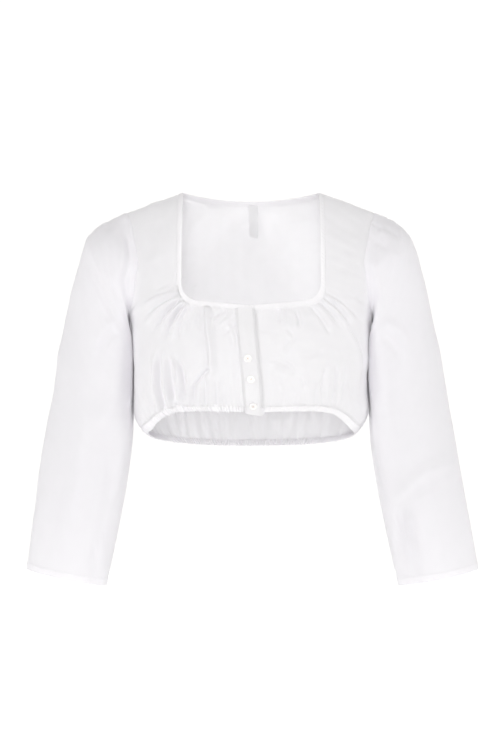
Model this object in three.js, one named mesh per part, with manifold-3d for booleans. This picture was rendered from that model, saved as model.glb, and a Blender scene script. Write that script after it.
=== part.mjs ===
// A cropped blouse with a square neckline, worn and hollow, as its wearer's shoulders hold it up.
// Millimetres, +Z up. The front faces -Y and the wearer's right is -X.
// The origin lies midway between the two neck ends of the shoulder seams.

import * as THREE from 'three';
import Module from 'manifold-3d';
import { mergeVertices } from 'three/addons/utils/BufferGeometryUtils.js';

const { clamp, degToRad, lerp, smoothstep } = THREE.MathUtils;
const wasm = await Module();
wasm.setup();

// Cloth
const CLOTH = 1.2; // one layer, as a wall
const DOUBLE_CLOTH = 1.8; // a hem or band of folded cloth
const SEAM = 0.3; // air between neighbouring pieces
const CURVED_SEAM = 0.6; // the same where both edges bend

// Shoulders
const SHOULDER_SLOPE = 0.37; // drop for each millimetre outwards
const NECK_BLEND = 25; // rounds the shoulder line off at the neck
const SHOULDER_DEPTH = 50; // how far the rounded shoulder top reaches to front and back
const SHOULDER_DROP = 90; // height over which it rounds

// Neckline
const NECK_HALF = 94.5; // half its width at the shoulder seams
const NECK_DEPTH = 161; // below the shoulders, at the centre front
const NECK_CORNER_DEPTH = 152; // where the bottom edge would meet the side edge
const NECK_CORNER_ROUND = 26;
const BACK_NECK_DIP = 8;
const BINDING = 7; // width of the strip round the neckline
const BINDING_THICK = 2.2;

// Sections of the body under the cloth, by the distance below the shoulder line.
// front and back are depths that the rounded shoulder top is added to.
const BODY = [
  { down: 0, halfWidth: 186, front: 0, back: 0 },
  { down: 60, halfWidth: 185, front: 18, back: 22 },
  { down: 100, halfWidth: 180, front: 30, back: 34 },
  { down: 140, halfWidth: 173, front: 42, back: 40 },
  { down: 178, halfWidth: 168.5, front: 53, back: 42 },
  { down: 225, halfWidth: 164, front: 62, back: 41 },
  { down: 265, halfWidth: 163, front: 65, back: 39 },
  { down: 310, halfWidth: 163, front: 62, back: 37 },
  { down: 360, halfWidth: 163, front: 57, back: 36 },
];
const FRONT_CORNER = 2.6; // over 2 makes a section squarer than an ellipse
const BACK_CORNER = 2.4;
const FULLNESS = { depth: 9, across: 72, down: 228, spreadAcross: 42, spreadDown: 46 };

// The hem, by the angle from the centre front, and the elastic that draws it in.
const HEM = [
  { angle: 0, down: 305 },
  { angle: 35, down: 304 },
  { angle: 50, down: 308 },
  { angle: 60, down: 317 },
  { angle: 72, down: 329 },
  { angle: 90, down: 337 },
  { angle: 120, down: 348 },
  { angle: 150, down: 355 },
  { angle: 180, down: 357 },
];
const HEM_PULL = 19; // how far the elastic draws the side in
const HEM_RISE = 30; // height over which the cloth puffs out above it
const CASING = 9; // height of the tunnel that holds the elastic
const CASING_THICK = 2.4;

// The armhole, from the shoulder tip to the armpit, as angles from the centre front and back.
const ARMPIT = 178;
const ARMHOLE = [
  { along: 0, down: 0, front: 67.6, back: 67.6 },
  { along: 0.19, down: 30, front: 61.8, back: 63 },
  { along: 0.46, down: 86, front: 58.8, back: 61 },
  { along: 0.67, down: 139, front: 68, back: 69 },
  { along: 0.78, down: 160, front: 75, back: 76 },
  { along: 0.87, down: 170, front: 81.5, back: 82 },
  { along: 1, down: ARMPIT, front: 90, back: 90 },
];

// Rings of a sleeve from the armhole to the cuff: its outer and inner edge, how far the inner edge
// lies back behind the body's side, its depth from front to back, and how far its middle hangs
// forwards.
const SLEEVE = [
  { outerX: 172, outerZ: -30, innerX: 168.5, innerZ: -178, innerBack: 0, halfDepth: 52, forward: 0 },
  { outerX: 187, outerZ: -35, innerX: 170.6, innerZ: -182, innerBack: 13, halfDepth: 55, forward: 0 },
  { outerX: 203, outerZ: -41, innerX: 169.2, innerZ: -191, innerBack: 26, halfDepth: 57, forward: 0 },
  { outerX: 220, outerZ: -48, innerX: 166.8, innerZ: -201, innerBack: 34.5, halfDepth: 57, forward: 1 },
  { outerX: 236, outerZ: -64, innerX: 164.6, innerZ: -213, innerBack: 40.5, halfDepth: 56, forward: 2 },
  { outerX: 247, outerZ: -96, innerX: 163, innerZ: -227, innerBack: 43, halfDepth: 55, forward: 3 },
  { outerX: 256, outerZ: -145, innerX: 162.4, innerZ: -246, innerBack: 43, halfDepth: 54, forward: 4 },
  { outerX: 264, outerZ: -202, innerX: 162.6, innerZ: -272, innerBack: 39, halfDepth: 53, forward: 6 },
  { outerX: 273, outerZ: -260, innerX: 165, innerZ: -306, innerBack: 29, halfDepth: 52, forward: 8 },
  { outerX: 283, outerZ: -322, innerX: 166.5, innerZ: -350, innerBack: 20, halfDepth: 50, forward: 10 },
  { outerX: 294, outerZ: -390, innerX: 174.5, innerZ: -412, innerBack: 12, halfDepth: 47, forward: 13 },
  { outerX: 303, outerZ: -460, innerX: 187, innerZ: -480, innerBack: 5, halfDepth: 44, forward: 16 },
  { outerX: 311, outerZ: -524, innerX: 201, innerZ: -547, innerBack: 0, halfDepth: 42, forward: 19 },
];
const ARMHOLE_STEPS = 8; // chords in each half of it, which the panels and the sleeve share
const ARMHOLE_SEAM = 0.8;
const RING_SETTLE = 0.3; // share of the sleeve over which the armhole's shape turns oval
const SLEEVE_HEM = 10;
// How much each sleeve is wider at its middle, and how much further out its cuff hangs.
const HANG = {
  right: { wider: 0, cuff: 0 },
  left: { wider: -6, cuff: 4 },
};

// The front closure. The right front laps over the left, and its edge leans to the left downwards.
const LAP_TOP = 4; // how far the lapped edge stands past the middle at the neckline
const LAP_HEM = 17; // and at the hem
const PLACKET = 26; // width of the buttonhole band
const PLACKET_DROP = 5; // how far the band's lapped edge hangs below the front hem
const PLACKET_RISE = 3.5; // how much less its stitched edge hangs
const UNDER_LAP = 4; // how far the button band shows past the lapped edge
const BUTTONS = [
  { x: -4.4, down: 233 },
  { x: 0, down: 261 },
  { x: 3.1, down: 296 },
];
const BUTTON = { radius: 5.6, thick: 2.4, rim: 1.3, dish: 0.8, hole: 0.75, holeSpread: 1.5 };

// Gathers. Each fold takes three columns of a panel, the first of them its crest.
const FOLD_COLUMNS = 3;
const FRONT_NECK_FOLDS = 10;
const FRONT_SIDE_FOLDS = 5;
const BACK_FOLDS = 18;
const NECK_FOLD_HEIGHT = 1.5;
const HEM_FOLD_HEIGHT = { front: 2.2, back: 3.2 };
const CASING_RIPPLES = { front: 35, back: 68 };
const RIPPLE_HEIGHT = 0.8;
const SLEEVE_HEAD_FOLD = 1.2;

// The largest folds of each front, as soft ridges between two places across and down it. The
// gathers fan out from the corner of the neckline, and a pleat stands beside the right one.
const RIDGES = {
  right: [
    { across: 93, down: 146, toAcross: 140, toDown: 172, width: 4.5, height: 2.2 },
    { across: 90, down: 152, toAcross: 128, toDown: 190, width: 4.5, height: 2.4 },
    { across: 86, down: 158, toAcross: 112, toDown: 200, width: 4.5, height: 2.2 },
    { across: 62, down: 166, toAcross: 59, toDown: 250, width: 5, height: 3.2 },
    { across: 72, down: 256, toAcross: 77, toDown: 290, width: 5, height: 2.2 },
    { across: 95, down: 262, toAcross: 99, toDown: 292, width: 5, height: 2 },
    { across: 122, down: 246, toAcross: 108, toDown: 296, width: 5, height: 2.2 },
    { across: 137, down: 244, toAcross: 124, toDown: 298, width: 5, height: 2 },
  ],
  left: [
    { across: 86, down: 158, toAcross: 110, toDown: 196, width: 5, height: 2 },
    { across: 91, down: 148, toAcross: 134, toDown: 182, width: 4.5, height: 2 },
    { across: 93, down: 140, toAcross: 144, toDown: 196, width: 4.5, height: 1.6 },
    { across: 32, down: 236, toAcross: 58, toDown: 256, width: 5, height: 1.8 },
    { across: 104, down: 248, toAcross: 102, toDown: 290, width: 5, height: 1.8 },
    { across: 144, down: 214, toAcross: 154, toDown: 246, width: 5, height: 1.8 },
  ],
};

// The blank label inside the back neck
const LABEL = { width: 13, length: 44, x: 3, stand: 2.2, swing: 5 };

const WHITE_COTTON = { color: 0xf4f3f5, roughness: 0.9, metalness: 0 };
const PEARL = { color: 0xf3efe6, roughness: 0.35, metalness: 0 };
const SATIN = { color: 0xf6f6f8, roughness: 0.6, metalness: 0 };

const blouse = new THREE.Group();

// The value of one column at a place along a table, on a smooth line through its rows.
function read(table, key, place, column) {
  const last = table.length - 1;
  const here = clamp(place, table[0][key], table[last][key]);
  const next = clamp(table.findIndex((row) => row[key] >= here), 1, last);
  const slope = (i) => {
    const [a, b] = [table[Math.max(i - 1, 0)], table[Math.min(i + 1, last)]];
    return (b[column] - a[column]) / (b[key] - a[key]);
  };
  const [from, to] = [table[next - 1], table[next]];
  const step = to[key] - from[key];
  const f = (here - from[key]) / step;
  const stay = (1 + 2 * f) * (1 - f) ** 2;
  const lead = f * (1 - f) ** 2 * step * slope(next - 1);
  const trail = f * f * (f - 1) * step * slope(next);
  return stay * from[column] + (1 - stay) * to[column] + lead + trail;
}

const hemDown = (angle) => {
  const turned = Math.abs(Math.atan2(Math.sin(angle), Math.cos(angle)));
  return read(HEM, 'angle', THREE.MathUtils.radToDeg(turned), 'down');
};

const shoulderLine = (x) =>
  SHOULDER_SLOPE * (Math.hypot(NECK_HALF, NECK_BLEND) - Math.hypot(x, NECK_BLEND));

const halfWidth = (down) => read(BODY, 'down', down, 'halfWidth');

const angleAt = (x, down) => Math.asin(clamp(x / halfWidth(down), -1, 1));

// A point of the body's form, by the angle round it from the centre front and the distance below
// the shoulder line. A negative distance goes over the shoulder to the other side.
function form(angle, down) {
  const over = Math.abs(down);
  const half = halfWidth(over);
  const across = half * Math.sin(angle);
  const isFront = Math.cos(angle) > 0 === down >= 0;
  const column = isFront ? 'front' : 'back';
  const corner = isFront ? FRONT_CORNER : BACK_CORNER;
  const top = Math.sqrt(1 - (1 - Math.min(over / SHOULDER_DROP, 1)) ** 2);
  let depth = SHOULDER_DEPTH * top + read(BODY, 'down', over, column);
  if (isFront) {
    const a = (Math.abs(across) - FULLNESS.across) / FULLNESS.spreadAcross;
    const b = (over - FULLNESS.down) / FULLNESS.spreadDown;
    depth += FULLNESS.depth * Math.exp(-a * a - b * b);
  }
  const section = (1 - Math.abs(Math.sin(angle)) ** corner) ** (1 / corner);
  const slope = shoulderLine(across) * (1 - smoothstep(over, 40, 140));
  const aboveHem = hemDown(angle) - over;
  const drawn = 1 - (HEM_PULL / half) * clamp(1 - aboveHem / HEM_RISE, 0, 1.3) ** 2;
  const y = (isFront ? -1 : 1) * depth * section;
  return new THREE.Vector3(across * drawn, y * drawn, slope - over);
}

// The direction straight out of a surface given as a function of two numbers.
function outward(surface, a, b, stepA, stepB) {
  const alongA = surface(a + stepA, b).sub(surface(a - stepA, b));
  const alongB = surface(a, b + stepB).sub(surface(a, b - stepB));
  return alongB.cross(alongA).normalize();
}

// A point of the cloth that lies on the form, lifted off it.
function onForm(angle, down, lift) {
  const point = form(angle, down);
  return point.addScaledVector(outward(form, angle, down, 0.01, 0.4), lift);
}

// A closed wall through a grid of points. at(row, column, layer) gives a point, where layer is 1
// on the outside and 0 on the inside. A cell that has() refuses is left open.
function wall({ rows, columns, closed = false, has = () => true, at }) {
  const positions = [];
  const index = [];
  const seen = new Map();
  const wrap = (column) => (closed ? (column + columns) % columns : column);
  const vertex = (row, column, layer) => {
    const key = `${row},${wrap(column)},${layer}`;
    if (!seen.has(key)) {
      seen.set(key, positions.length / 3);
      positions.push(...at(row, wrap(column), layer).toArray());
    }
    return seen.get(key);
  };
  const quad = (a, b, c, d) => index.push(a, b, c, a, c, d);
  const inside = (row, column) => {
    const inGrid = row >= 0 && row < rows && (closed || (column >= 0 && column < columns));
    return inGrid && has(row, wrap(column));
  };
  for (let r = 0; r < rows; r++) {
    for (let c = 0; c < columns; c++) {
      if (!inside(r, c)) continue;
      const corners = [[r, c], [r, c + 1], [r + 1, c + 1], [r + 1, c]];
      quad(...corners.map(([row, column]) => vertex(row, column, 1)));
      quad(...corners.toReversed().map(([row, column]) => vertex(row, column, 0)));
      const neighbours = [[r - 1, c], [r, c + 1], [r + 1, c], [r, c - 1]];
      neighbours.forEach(([row, column], side) => {
        if (inside(row, column)) return;
        const [from, to] = [corners[side], corners[(side + 1) % 4]];
        quad(vertex(...to, 1), vertex(...from, 1), vertex(...from, 0), vertex(...to, 0));
      });
    }
  }
  return facingOut(positions, index);
}

// A geometry from positions and triangles, turned round if its faces point inwards.
function facingOut(positions, index) {
  const corner = (i) => new THREE.Vector3().fromArray(positions, 3 * index[i]);
  let volume = 0;
  for (let i = 0; i < index.length; i += 3) {
    volume += corner(i).dot(corner(i + 1).cross(corner(i + 2)));
  }
  const geometry = new THREE.BufferGeometry();
  geometry.setAttribute('position', new THREE.Float32BufferAttribute(positions, 3));
  geometry.setIndex(volume < 0 ? index.toReversed() : index);
  return geometry;
}

function addPiece(name, geometry, finish) {
  const mesh = new THREE.Mesh(geometry, new THREE.MeshStandardMaterial(finish));
  mesh.name = name;
  blouse.add(mesh);
  return mesh;
}

// How high a layer of a wall lies, from the lift of its middle.
const layerLift = (lift, thick, layer) => lift + (layer - 0.5) * thick;

// A gather's height at a column: a crest, then two columns of trough, each fold its own height.
function fold(column) {
  const number = Math.floor(column / FOLD_COLUMNS);
  const isCrest = column % FOLD_COLUMNS === 0;
  const own = 0.6 + 0.4 * Math.sin(2.3 * number + 0.7);
  return own * (isCrest ? 1 : -0.5);
}

// The height at a place of a row of ridges, each running out at its ends.
function ridges(table, across, down) {
  return table.reduce((height, row) => {
    const [dx, dy] = [row.toAcross - row.across, row.toDown - row.down];
    const [x, y] = [across - row.across, down - row.down];
    const length = Math.hypot(dx, dy);
    const along = (x * dx + y * dy) / length ** 2;
    const beside = (x * dy - y * dx) / length / row.width;
    const ends = smoothstep(along, -0.15, 0.2) * (1 - smoothstep(along, 0.75, 1.2));
    return height + row.height * ends * Math.exp(-beside * beside);
  }, 0);
}

// The neckline's front half, from the centre to the shoulder, as x and the distance down.
// grow moves it outwards.
function neckPath(grow) {
  const half = NECK_HALF + grow;
  const bottom = NECK_DEPTH + grow;
  const corner = NECK_CORNER_DEPTH + grow;
  const path = new THREE.Path();
  path.moveTo(0, bottom);
  path.lineTo(half - NECK_CORNER_ROUND, lerp(bottom, corner, 1 - NECK_CORNER_ROUND / half));
  path.quadraticCurveTo(half, corner, half, corner - NECK_CORNER_ROUND);
  path.lineTo(half, 0);
  return path;
}

// The lapped edge's place across the front, in x.
const lapEdge = (down) => lerp(LAP_TOP, LAP_HEM, (down - NECK_DEPTH) / (HEM[0].down - NECK_DEPTH));

// Where each front's cloth starts beside the closure.
const FRONT_START = {
  right: (down) => PLACKET + SEAM - lapEdge(down),
  left: (down) => UNDER_LAP + lapEdge(down),
};

const PANEL_EDGE = BINDING + CURVED_SEAM;
const cornerEnd = NECK_CORNER_DEPTH + PANEL_EDGE - NECK_CORNER_ROUND; // where the corner's round ends
const neckEdgeX = NECK_HALF + PANEL_EDGE;

// A front from the hem casing to the shoulder seam. Its lower rows run from the closure to the
// side seam, and its upper rows are the strap beside the neckline.
function addFront(side) {
  const sign = side === 'right' ? -1 : 1;
  const neckColumns = FOLD_COLUMNS * FRONT_NECK_FOLDS;
  const columns = neckColumns + FOLD_COLUMNS * FRONT_SIDE_FOLDS;
  const lowerRows = 10;
  const strapRows = ARMHOLE_STEPS;
  const start = FRONT_START[side];
  const path = neckPath(PANEL_EDGE);
  const bottomAndCorner = path.getLength() - cornerEnd;
  const startShare = start(NECK_DEPTH + PANEL_EDGE) / bottomAndCorner;

  // The row that follows the neckline's bottom and then runs to the armpit.
  const upperEdge = (column) => {
    const strapStart = { angle: angleAt(neckEdgeX, cornerEnd), down: cornerEnd };
    if (column >= neckColumns) {
      const f = (column - neckColumns) / (columns - neckColumns);
      return {
        angle: lerp(strapStart.angle, Math.PI / 2, f),
        down: lerp(cornerEnd, ARMPIT, f),
      };
    }
    const share = lerp(startShare, 1, column / neckColumns);
    const point = path.getPointAt((share * bottomAndCorner) / path.getLength());
    return { angle: angleAt(point.x, point.y), down: point.y };
  };
  const hemEdge = (column) => {
    const first = angleAt(start(HEM[0].down) + 2, HEM[0].down);
    const angle = lerp(first, Math.PI / 2, column / columns);
    return { angle, down: hemDown(angle) - CASING - SEAM };
  };
  const strap = (row, column) => {
    const up = (1 - row / strapRows) ** 2;
    const f = (column - neckColumns) / (columns - neckColumns);
    const along = 1 - row / strapRows;
    const outer = {
      angle: degToRad(read(ARMHOLE, 'along', along, 'front')),
      down: read(ARMHOLE, 'along', along, 'down'),
    };
    const innerDown = cornerEnd * up;
    const inner = { angle: angleAt(neckEdgeX, innerDown), down: innerDown };
    return { angle: lerp(inner.angle, outer.angle, f), down: lerp(inner.down, outer.down, f) };
  };
  const at = (row, column, layer) => {
    const isStrap = row > lowerRows;
    const height = (row / lowerRows) ** 1.25;
    const [low, high] = [hemEdge(column), upperEdge(column)];
    let place = { angle: lerp(low.angle, high.angle, height), down: lerp(low.down, high.down, height) };
    if (isStrap) place = strap(row - lowerRows, column);
    const sideFade = 1 - smoothstep(column / columns, 0.86, 1);
    const neckGather = isStrap || column > neckColumns ? 0 : smoothstep(height, 0.55, 0.95);
    const hemGather = smoothstep(1 - height, 0.35, 0.9) * (1 - 0.6 * smoothstep(1 - height, 0.93, 1));
    const gather = isStrap ? 0 : NECK_FOLD_HEIGHT * neckGather + HEM_FOLD_HEIGHT.front * hemGather;
    const besideBand = smoothstep(column, 0, 3);
    const across = halfWidth(place.down) * Math.sin(place.angle);
    const edges = isStrap ? 0 : 1 - smoothstep(Math.abs(height - 0.5), 0.4, 0.5);
    const large = ridges(RIDGES[side], across, place.down) * edges;
    const lift = (gather * fold(column) + large) * sideFade * besideBand;
    const point = onForm(sign * place.angle, place.down, layerLift(lift, CLOTH, layer));
    const onSideSeam = column === columns && !isStrap;
    const onShoulderSeam = row === lowerRows + strapRows;
    if (onSideSeam || onShoulderSeam) point.y = -SEAM / 2;
    return point;
  };
  const has = (row, column) => row < lowerRows || column >= neckColumns;
  const geometry = wall({ rows: lowerRows + strapRows, columns, has, at });
  addPiece(`front_${side}`, geometry, WHITE_COTTON);
}

// The back neckline's distance below the shoulder line, at x.
const backNeck = (x) => shoulderLine(x) + BACK_NECK_DIP * (1 - (x / NECK_HALF) ** 2);

// The back neckline moved outwards: x and the distance down, by the share of the way across.
function backNeckPlace(share, grow) {
  const x = share * NECK_HALF;
  const down = backNeck(x) + 0.9 * grow * (1 - share ** 4);
  return { x: x * (1 + grow / NECK_HALF), down: Math.max(down, 0) };
}

// The back, in one piece from the hem casing to the shoulder seams and the neckline.
function addBack() {
  const half = (FOLD_COLUMNS * BACK_FOLDS) / 2;
  const neckColumns = 14;
  const lowerRows = 7;
  const upperRows = ARMHOLE_STEPS;
  const topEdge = (column) => {
    if (column <= neckColumns) {
      const neck = backNeckPlace(column / neckColumns, PANEL_EDGE);
      return { angle: angleAt(neck.x, neck.down), down: neck.down };
    }
    const f = (column - neckColumns) / (half - neckColumns);
    return { angle: lerp(angleAt(neckEdgeX, 0), degToRad(ARMHOLE[0].back), f), down: 0 };
  };
  const at = (row, signedColumn, layer) => {
    const column = Math.abs(signedColumn - half);
    const sign = Math.sign(signedColumn - half);
    const f = column / half;
    let angle = (f * Math.PI) / 2;
    let down;
    let gather = 0;
    if (row <= lowerRows) {
      const height = (row / lowerRows) ** 1.25;
      down = lerp(hemDown(Math.PI - angle) - CASING - SEAM, ARMPIT, height);
      gather = smoothstep(1 - height, 0.1, 0.85) * (1 - 0.6 * smoothstep(1 - height, 0.93, 1));
    } else {
      const up = (row - lowerRows) / upperRows;
      const top = topEdge(column);
      const climb = 1 - (1 - up) ** 2;
      const side = {
        angle: degToRad(read(ARMHOLE, 'along', 1 - up, 'back')),
        down: read(ARMHOLE, 'along', 1 - up, 'down'),
      };
      const sideClimb = { angle: lerp(Math.PI / 2, degToRad(ARMHOLE[0].back), climb) };
      sideClimb.down = lerp(ARMPIT, 0, climb);
      const toSide = f ** 3;
      angle = lerp(angle, top.angle, climb) + toSide * (side.angle - sideClimb.angle);
      down = lerp(ARMPIT, top.down, climb) + toSide * (side.down - sideClimb.down);
      down = Math.max(down, 0);
    }
    const sideFade = 1 - smoothstep(f, 0.86, 1);
    const lift = HEM_FOLD_HEIGHT.back * gather * fold(signedColumn) * sideFade;
    const point = onForm(Math.PI - sign * angle, down, layerLift(lift, CLOTH, layer));
    const onSideSeam = column === half && row <= lowerRows;
    const onShoulderSeam = column >= neckColumns && row === lowerRows + upperRows;
    if (onSideSeam || onShoulderSeam) point.y = SEAM / 2;
    return point;
  };
  const geometry = wall({ rows: lowerRows + upperRows, columns: 2 * half, at });
  addPiece('back', geometry, WHITE_COTTON);
}

// A corner of the armhole's edge, counted from the shoulder tip down the front, lifted off the form.
function armholeCorner(number, lift) {
  const isFront = number <= ARMHOLE_STEPS;
  const along = isFront ? number / ARMHOLE_STEPS : 2 - number / ARMHOLE_STEPS;
  const angle = degToRad(read(ARMHOLE, 'along', along, isFront ? 'front' : 'back'));
  return onForm(isFront ? angle : Math.PI - angle, read(ARMHOLE, 'along', along, 'down'), lift);
}

// A point of the armhole's edge, by the share of the way round it.
function armhole(turn, lift = 0) {
  const place = (turn - Math.floor(turn)) * 2 * ARMHOLE_STEPS;
  const from = Math.floor(place);
  return armholeCorner(from, lift).lerp(armholeCorner(from + 1, lift), place - from);
}

// The same point moved off the panels' edge, over the armhole.
function besideArmhole(turn, lift) {
  const point = armhole(turn, lift);
  const outwards = armhole(turn, 1).sub(armhole(turn));
  const round = armhole(turn + 0.01).sub(armhole(turn - 0.01));
  return point.addScaledVector(outwards.cross(round).normalize(), ARMHOLE_SEAM);
}

// A point of the left sleeve, by the share of its length and the share of a turn round it.
function sleeve(side) {
  const rings = SLEEVE.map((row, i) => ({ ...row, share: i / (SLEEVE.length - 1) }));
  const oval = (share, turn) => {
    const ring = (column) => read(rings, 'share', share, column);
    const [c, s] = [Math.cos(2 * Math.PI * turn), Math.sin(2 * Math.PI * turn)];
    const here = clamp(share, 0, 1);
    const wider = HANG[side].wider * Math.sin(Math.PI * here) * (1 + c) * 0.5;
    const swing = wider + HANG[side].cuff * here ** 3;
    return new THREE.Vector3(
      lerp(ring('innerX'), ring('outerX'), (1 + c) / 2) + swing,
      (ring('innerBack') * (1 - c)) / 2 - ring('forward') - ring('halfDepth') * s,
      lerp(ring('innerZ'), ring('outerZ'), (1 + c) / 2),
    );
  };
  return (share, turn) => {
    const round = turn - Math.floor(turn);
    const start = armhole(round).sub(oval(0, round));
    const settled = smoothstep(share, 0, RING_SETTLE);
    return oval(share, round).addScaledVector(start, 1 - settled);
  };
}

function addSleeve(side) {
  const mirror = new THREE.Vector3(side === 'right' ? -1 : 1, 1, 1);
  const surface = sleeve(side);
  const columns = 32;
  const rows = SLEEVE.length - 1;
  const beside = SLEEVE[rows - 1].outerZ - SLEEVE[rows].outerZ;
  const hemShare = SLEEVE_HEM / beside / rows;
  const point = (share, turn, lift) => {
    const normal = outward(surface, share, turn, 0.004, 0.004);
    return surface(share, turn).addScaledVector(normal, lift).multiply(mirror);
  };
  const at = (row, column, layer) => {
    const share = (1 - hemShare - 0.0005) * (row / rows);
    const turn = column / columns;
    const nearTop = 1 - smoothstep(Math.min(turn, 1 - turn), 0.1, 0.22);
    const fade = smoothstep(share, 0, 0.04) * (1 - smoothstep(share, 0.12, 0.35));
    const lift = SLEEVE_HEAD_FOLD * nearTop * fade * (column % 2 ? -1 : 1);
    if (row === 0) return besideArmhole(turn, layerLift(0, CLOTH, layer)).multiply(mirror);
    return point(share, turn, layerLift(lift, CLOTH, layer));
  };
  addPiece(`sleeve_${side}`, wall({ rows, columns, closed: true, at }), WHITE_COTTON);
  const hemAt = (row, column, layer) =>
    point(1 - hemShare * (1 - row), column / columns, layerLift(0, DOUBLE_CLOTH, layer));
  addPiece(`sleeve_hem_${side}`, wall({ rows: 1, columns, closed: true, at: hemAt }), WHITE_COTTON);
}

// The elastic tunnel along a stretch of the hem, rippled outside over a plain inside.
function addCasing(name, from, to, ripples) {
  const columns = 2 * ripples;
  const at = (row, column, layer) => {
    const angle = lerp(from, to, column / columns);
    const ripple = layer ? RIPPLE_HEIGHT * (column % 2 ? -1 : 1) : 0;
    const down = hemDown(angle) - CASING * row;
    return onForm(angle, down, layerLift(0, CASING_THICK, layer) + ripple);
  };
  addPiece(name, wall({ rows: 1, columns, at }), WHITE_COTTON);
}

function addCasings() {
  const side = Math.PI / 2;
  const hem = HEM[0].down;
  const gap = 0.0025; // of a turn's angle, at the side seams
  const rightStart = angleAt(PLACKET + 3 - lapEdge(hem), hem);
  const leftStart = angleAt(5 + lapEdge(hem), hem);
  addCasing('hem_casing_front_right', -side + gap, -rightStart, CASING_RIPPLES.front);
  addCasing('hem_casing_front_left', leftStart, side - gap, CASING_RIPPLES.front);
  addCasing('hem_casing_back', side + gap, 3 * side - gap, CASING_RIPPLES.back);
}

// The strip that binds the neckline, from the right end at the closure round the back to the left.
function addNeckBinding() {
  const frontColumns = 22;
  const backColumns = 24;
  const columns = 2 * frontColumns + backColumns;
  const notch = 0.8; // half the gap between the strip's two ends
  const paths = [neckPath(0), neckPath(BINDING)];
  const frontPlace = (share, across, sign) => {
    const first = (LAP_TOP * sign + notch) / paths[0].getLength();
    const place = lerp(first, 1, share);
    const [inner, outer] = paths.map((path) => path.getPointAt(Math.abs(place)));
    const x = Math.sign(place) * lerp(inner.x, outer.x, across);
    const down = lerp(inner.y, outer.y, across);
    return { angle: sign * angleAt(x, down), down };
  };
  const backPlace = (share, across) => {
    const { x, down } = backNeckPlace(share, BINDING * across);
    return { angle: Math.PI - angleAt(x, down), down };
  };
  const placeOf = (column, across) => {
    if (column <= frontColumns) return frontPlace(column / frontColumns, across, -1);
    if (column < frontColumns + backColumns) {
      return backPlace((2 * (column - frontColumns)) / backColumns - 1, across);
    }
    return frontPlace((columns - column) / frontColumns, across, 1);
  };
  const at = (row, column, layer) => {
    const across = row / 2;
    const crown = row === 1 && layer ? 0.3 : 0;
    const { angle, down } = placeOf(column, across);
    return onForm(angle, down, layerLift(0, BINDING_THICK, layer) + crown);
  };
  addPiece('neck_binding', wall({ rows: 2, columns, at }), WHITE_COTTON);
}

// A straight band down the closure between two distances from the lapped edge.
function addPlacket(name, from, to, lift) {
  const rows = 9;
  const columns = 3;
  const top = NECK_DEPTH + PANEL_EDGE;
  const at = (row, column, layer) => {
    const bottom = HEM[0].down + PLACKET_DROP - PLACKET_RISE * (1 - column / columns);
    const down = lerp(bottom, top, row / rows);
    const x = lapEdge(down) + lerp(from, to, column / columns);
    return onForm(angleAt(x, down), down, layerLift(lift, DOUBLE_CLOTH, layer));
  };
  addPiece(name, wall({ rows, columns, at }), WHITE_COTTON);
}

const PLACKET_LIFT = CLOTH / 2 + SEAM + DOUBLE_CLOTH / 2;

function addPlackets() {
  addPlacket('placket_right', -PLACKET, 0, PLACKET_LIFT);
  addPlacket('placket_left', UNDER_LAP - PLACKET, UNDER_LAP - CURVED_SEAM, (CLOTH - DOUBLE_CLOTH) / 2);
}

// A closed geometry as a solid that can be cut.
function solidOf(geometry) {
  const bare = geometry.clone();
  bare.deleteAttribute('normal');
  bare.deleteAttribute('uv');
  const merged = mergeVertices(bare, 1e-4);
  const triVerts = new Uint32Array(merged.index.array);
  const vertProperties = merged.attributes.position.array;
  return new wasm.Manifold(new wasm.Mesh({ numProp: 3, vertProperties, triVerts }));
}

function geometryOf(solid) {
  const mesh = solid.getMesh();
  const geometry = new THREE.BufferGeometry();
  geometry.setAttribute('position', new THREE.BufferAttribute(mesh.vertProperties, 3));
  geometry.setIndex(new THREE.BufferAttribute(mesh.triVerts, 1));
  return geometry;
}

// A four-hole shirt button, its axis along Y and its back at the origin.
function buttonGeometry() {
  const { radius, thick, rim, dish, hole, holeSpread } = BUTTON;
  const profile = [
    [0, 0],
    [radius - 0.6, 0],
    [radius, 0.7],
    [radius, thick - 0.5],
    [radius - 0.6, thick],
    [radius - rim, thick],
    [radius - rim - 0.7, thick - dish],
    [0, thick - dish],
  ];
  const points = profile.map(([x, y]) => new THREE.Vector2(x, y));
  let solid = solidOf(new THREE.LatheGeometry(points, 20));
  for (const [x, z] of [[1, 1], [-1, 1], [-1, -1], [1, -1]]) {
    const cutter = new THREE.CylinderGeometry(hole, hole, 3 * thick, 8);
    cutter.translate(x * holeSpread, 0, z * holeSpread);
    solid = solid.subtract(solidOf(cutter));
  }
  return geometryOf(solid);
}

function addButtons() {
  const geometry = buttonGeometry();
  const clothTop = PLACKET_LIFT + DOUBLE_CLOTH / 2 + SEAM;
  BUTTONS.forEach(({ x, down }, i) => {
    const angle = angleAt(x, down);
    const button = addPiece(`button_${i + 1}`, geometry.clone(), PEARL);
    const axis = outward(form, angle, down, 0.01, 0.4);
    button.position.copy(onForm(angle, down, clothTop));
    button.quaternion.setFromUnitVectors(new THREE.Vector3(0, 1, 0), axis);
  });
}

// A folded ribbon that hangs from under the binding inside the back neck.
function addLabel() {
  const rows = 6;
  const columns = 2;
  const top = backNeck(0) + 0.9 * BINDING + SEAM;
  const at = (row, column, layer) => {
    const hang = 1 - row / rows;
    const x = LABEL.x + LABEL.width * (column / columns - 0.5);
    const down = top + LABEL.length * hang;
    const twist = 1 - 0.6 * (column / columns);
    const inwards = LABEL.stand + LABEL.swing * twist * hang ** 1.5;
    return onForm(Math.PI - angleAt(x, down), down, -inwards + layerLift(0, CLOTH, layer));
  };
  addPiece('neck_label', wall({ rows, columns, at }), SATIN);
}

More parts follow.
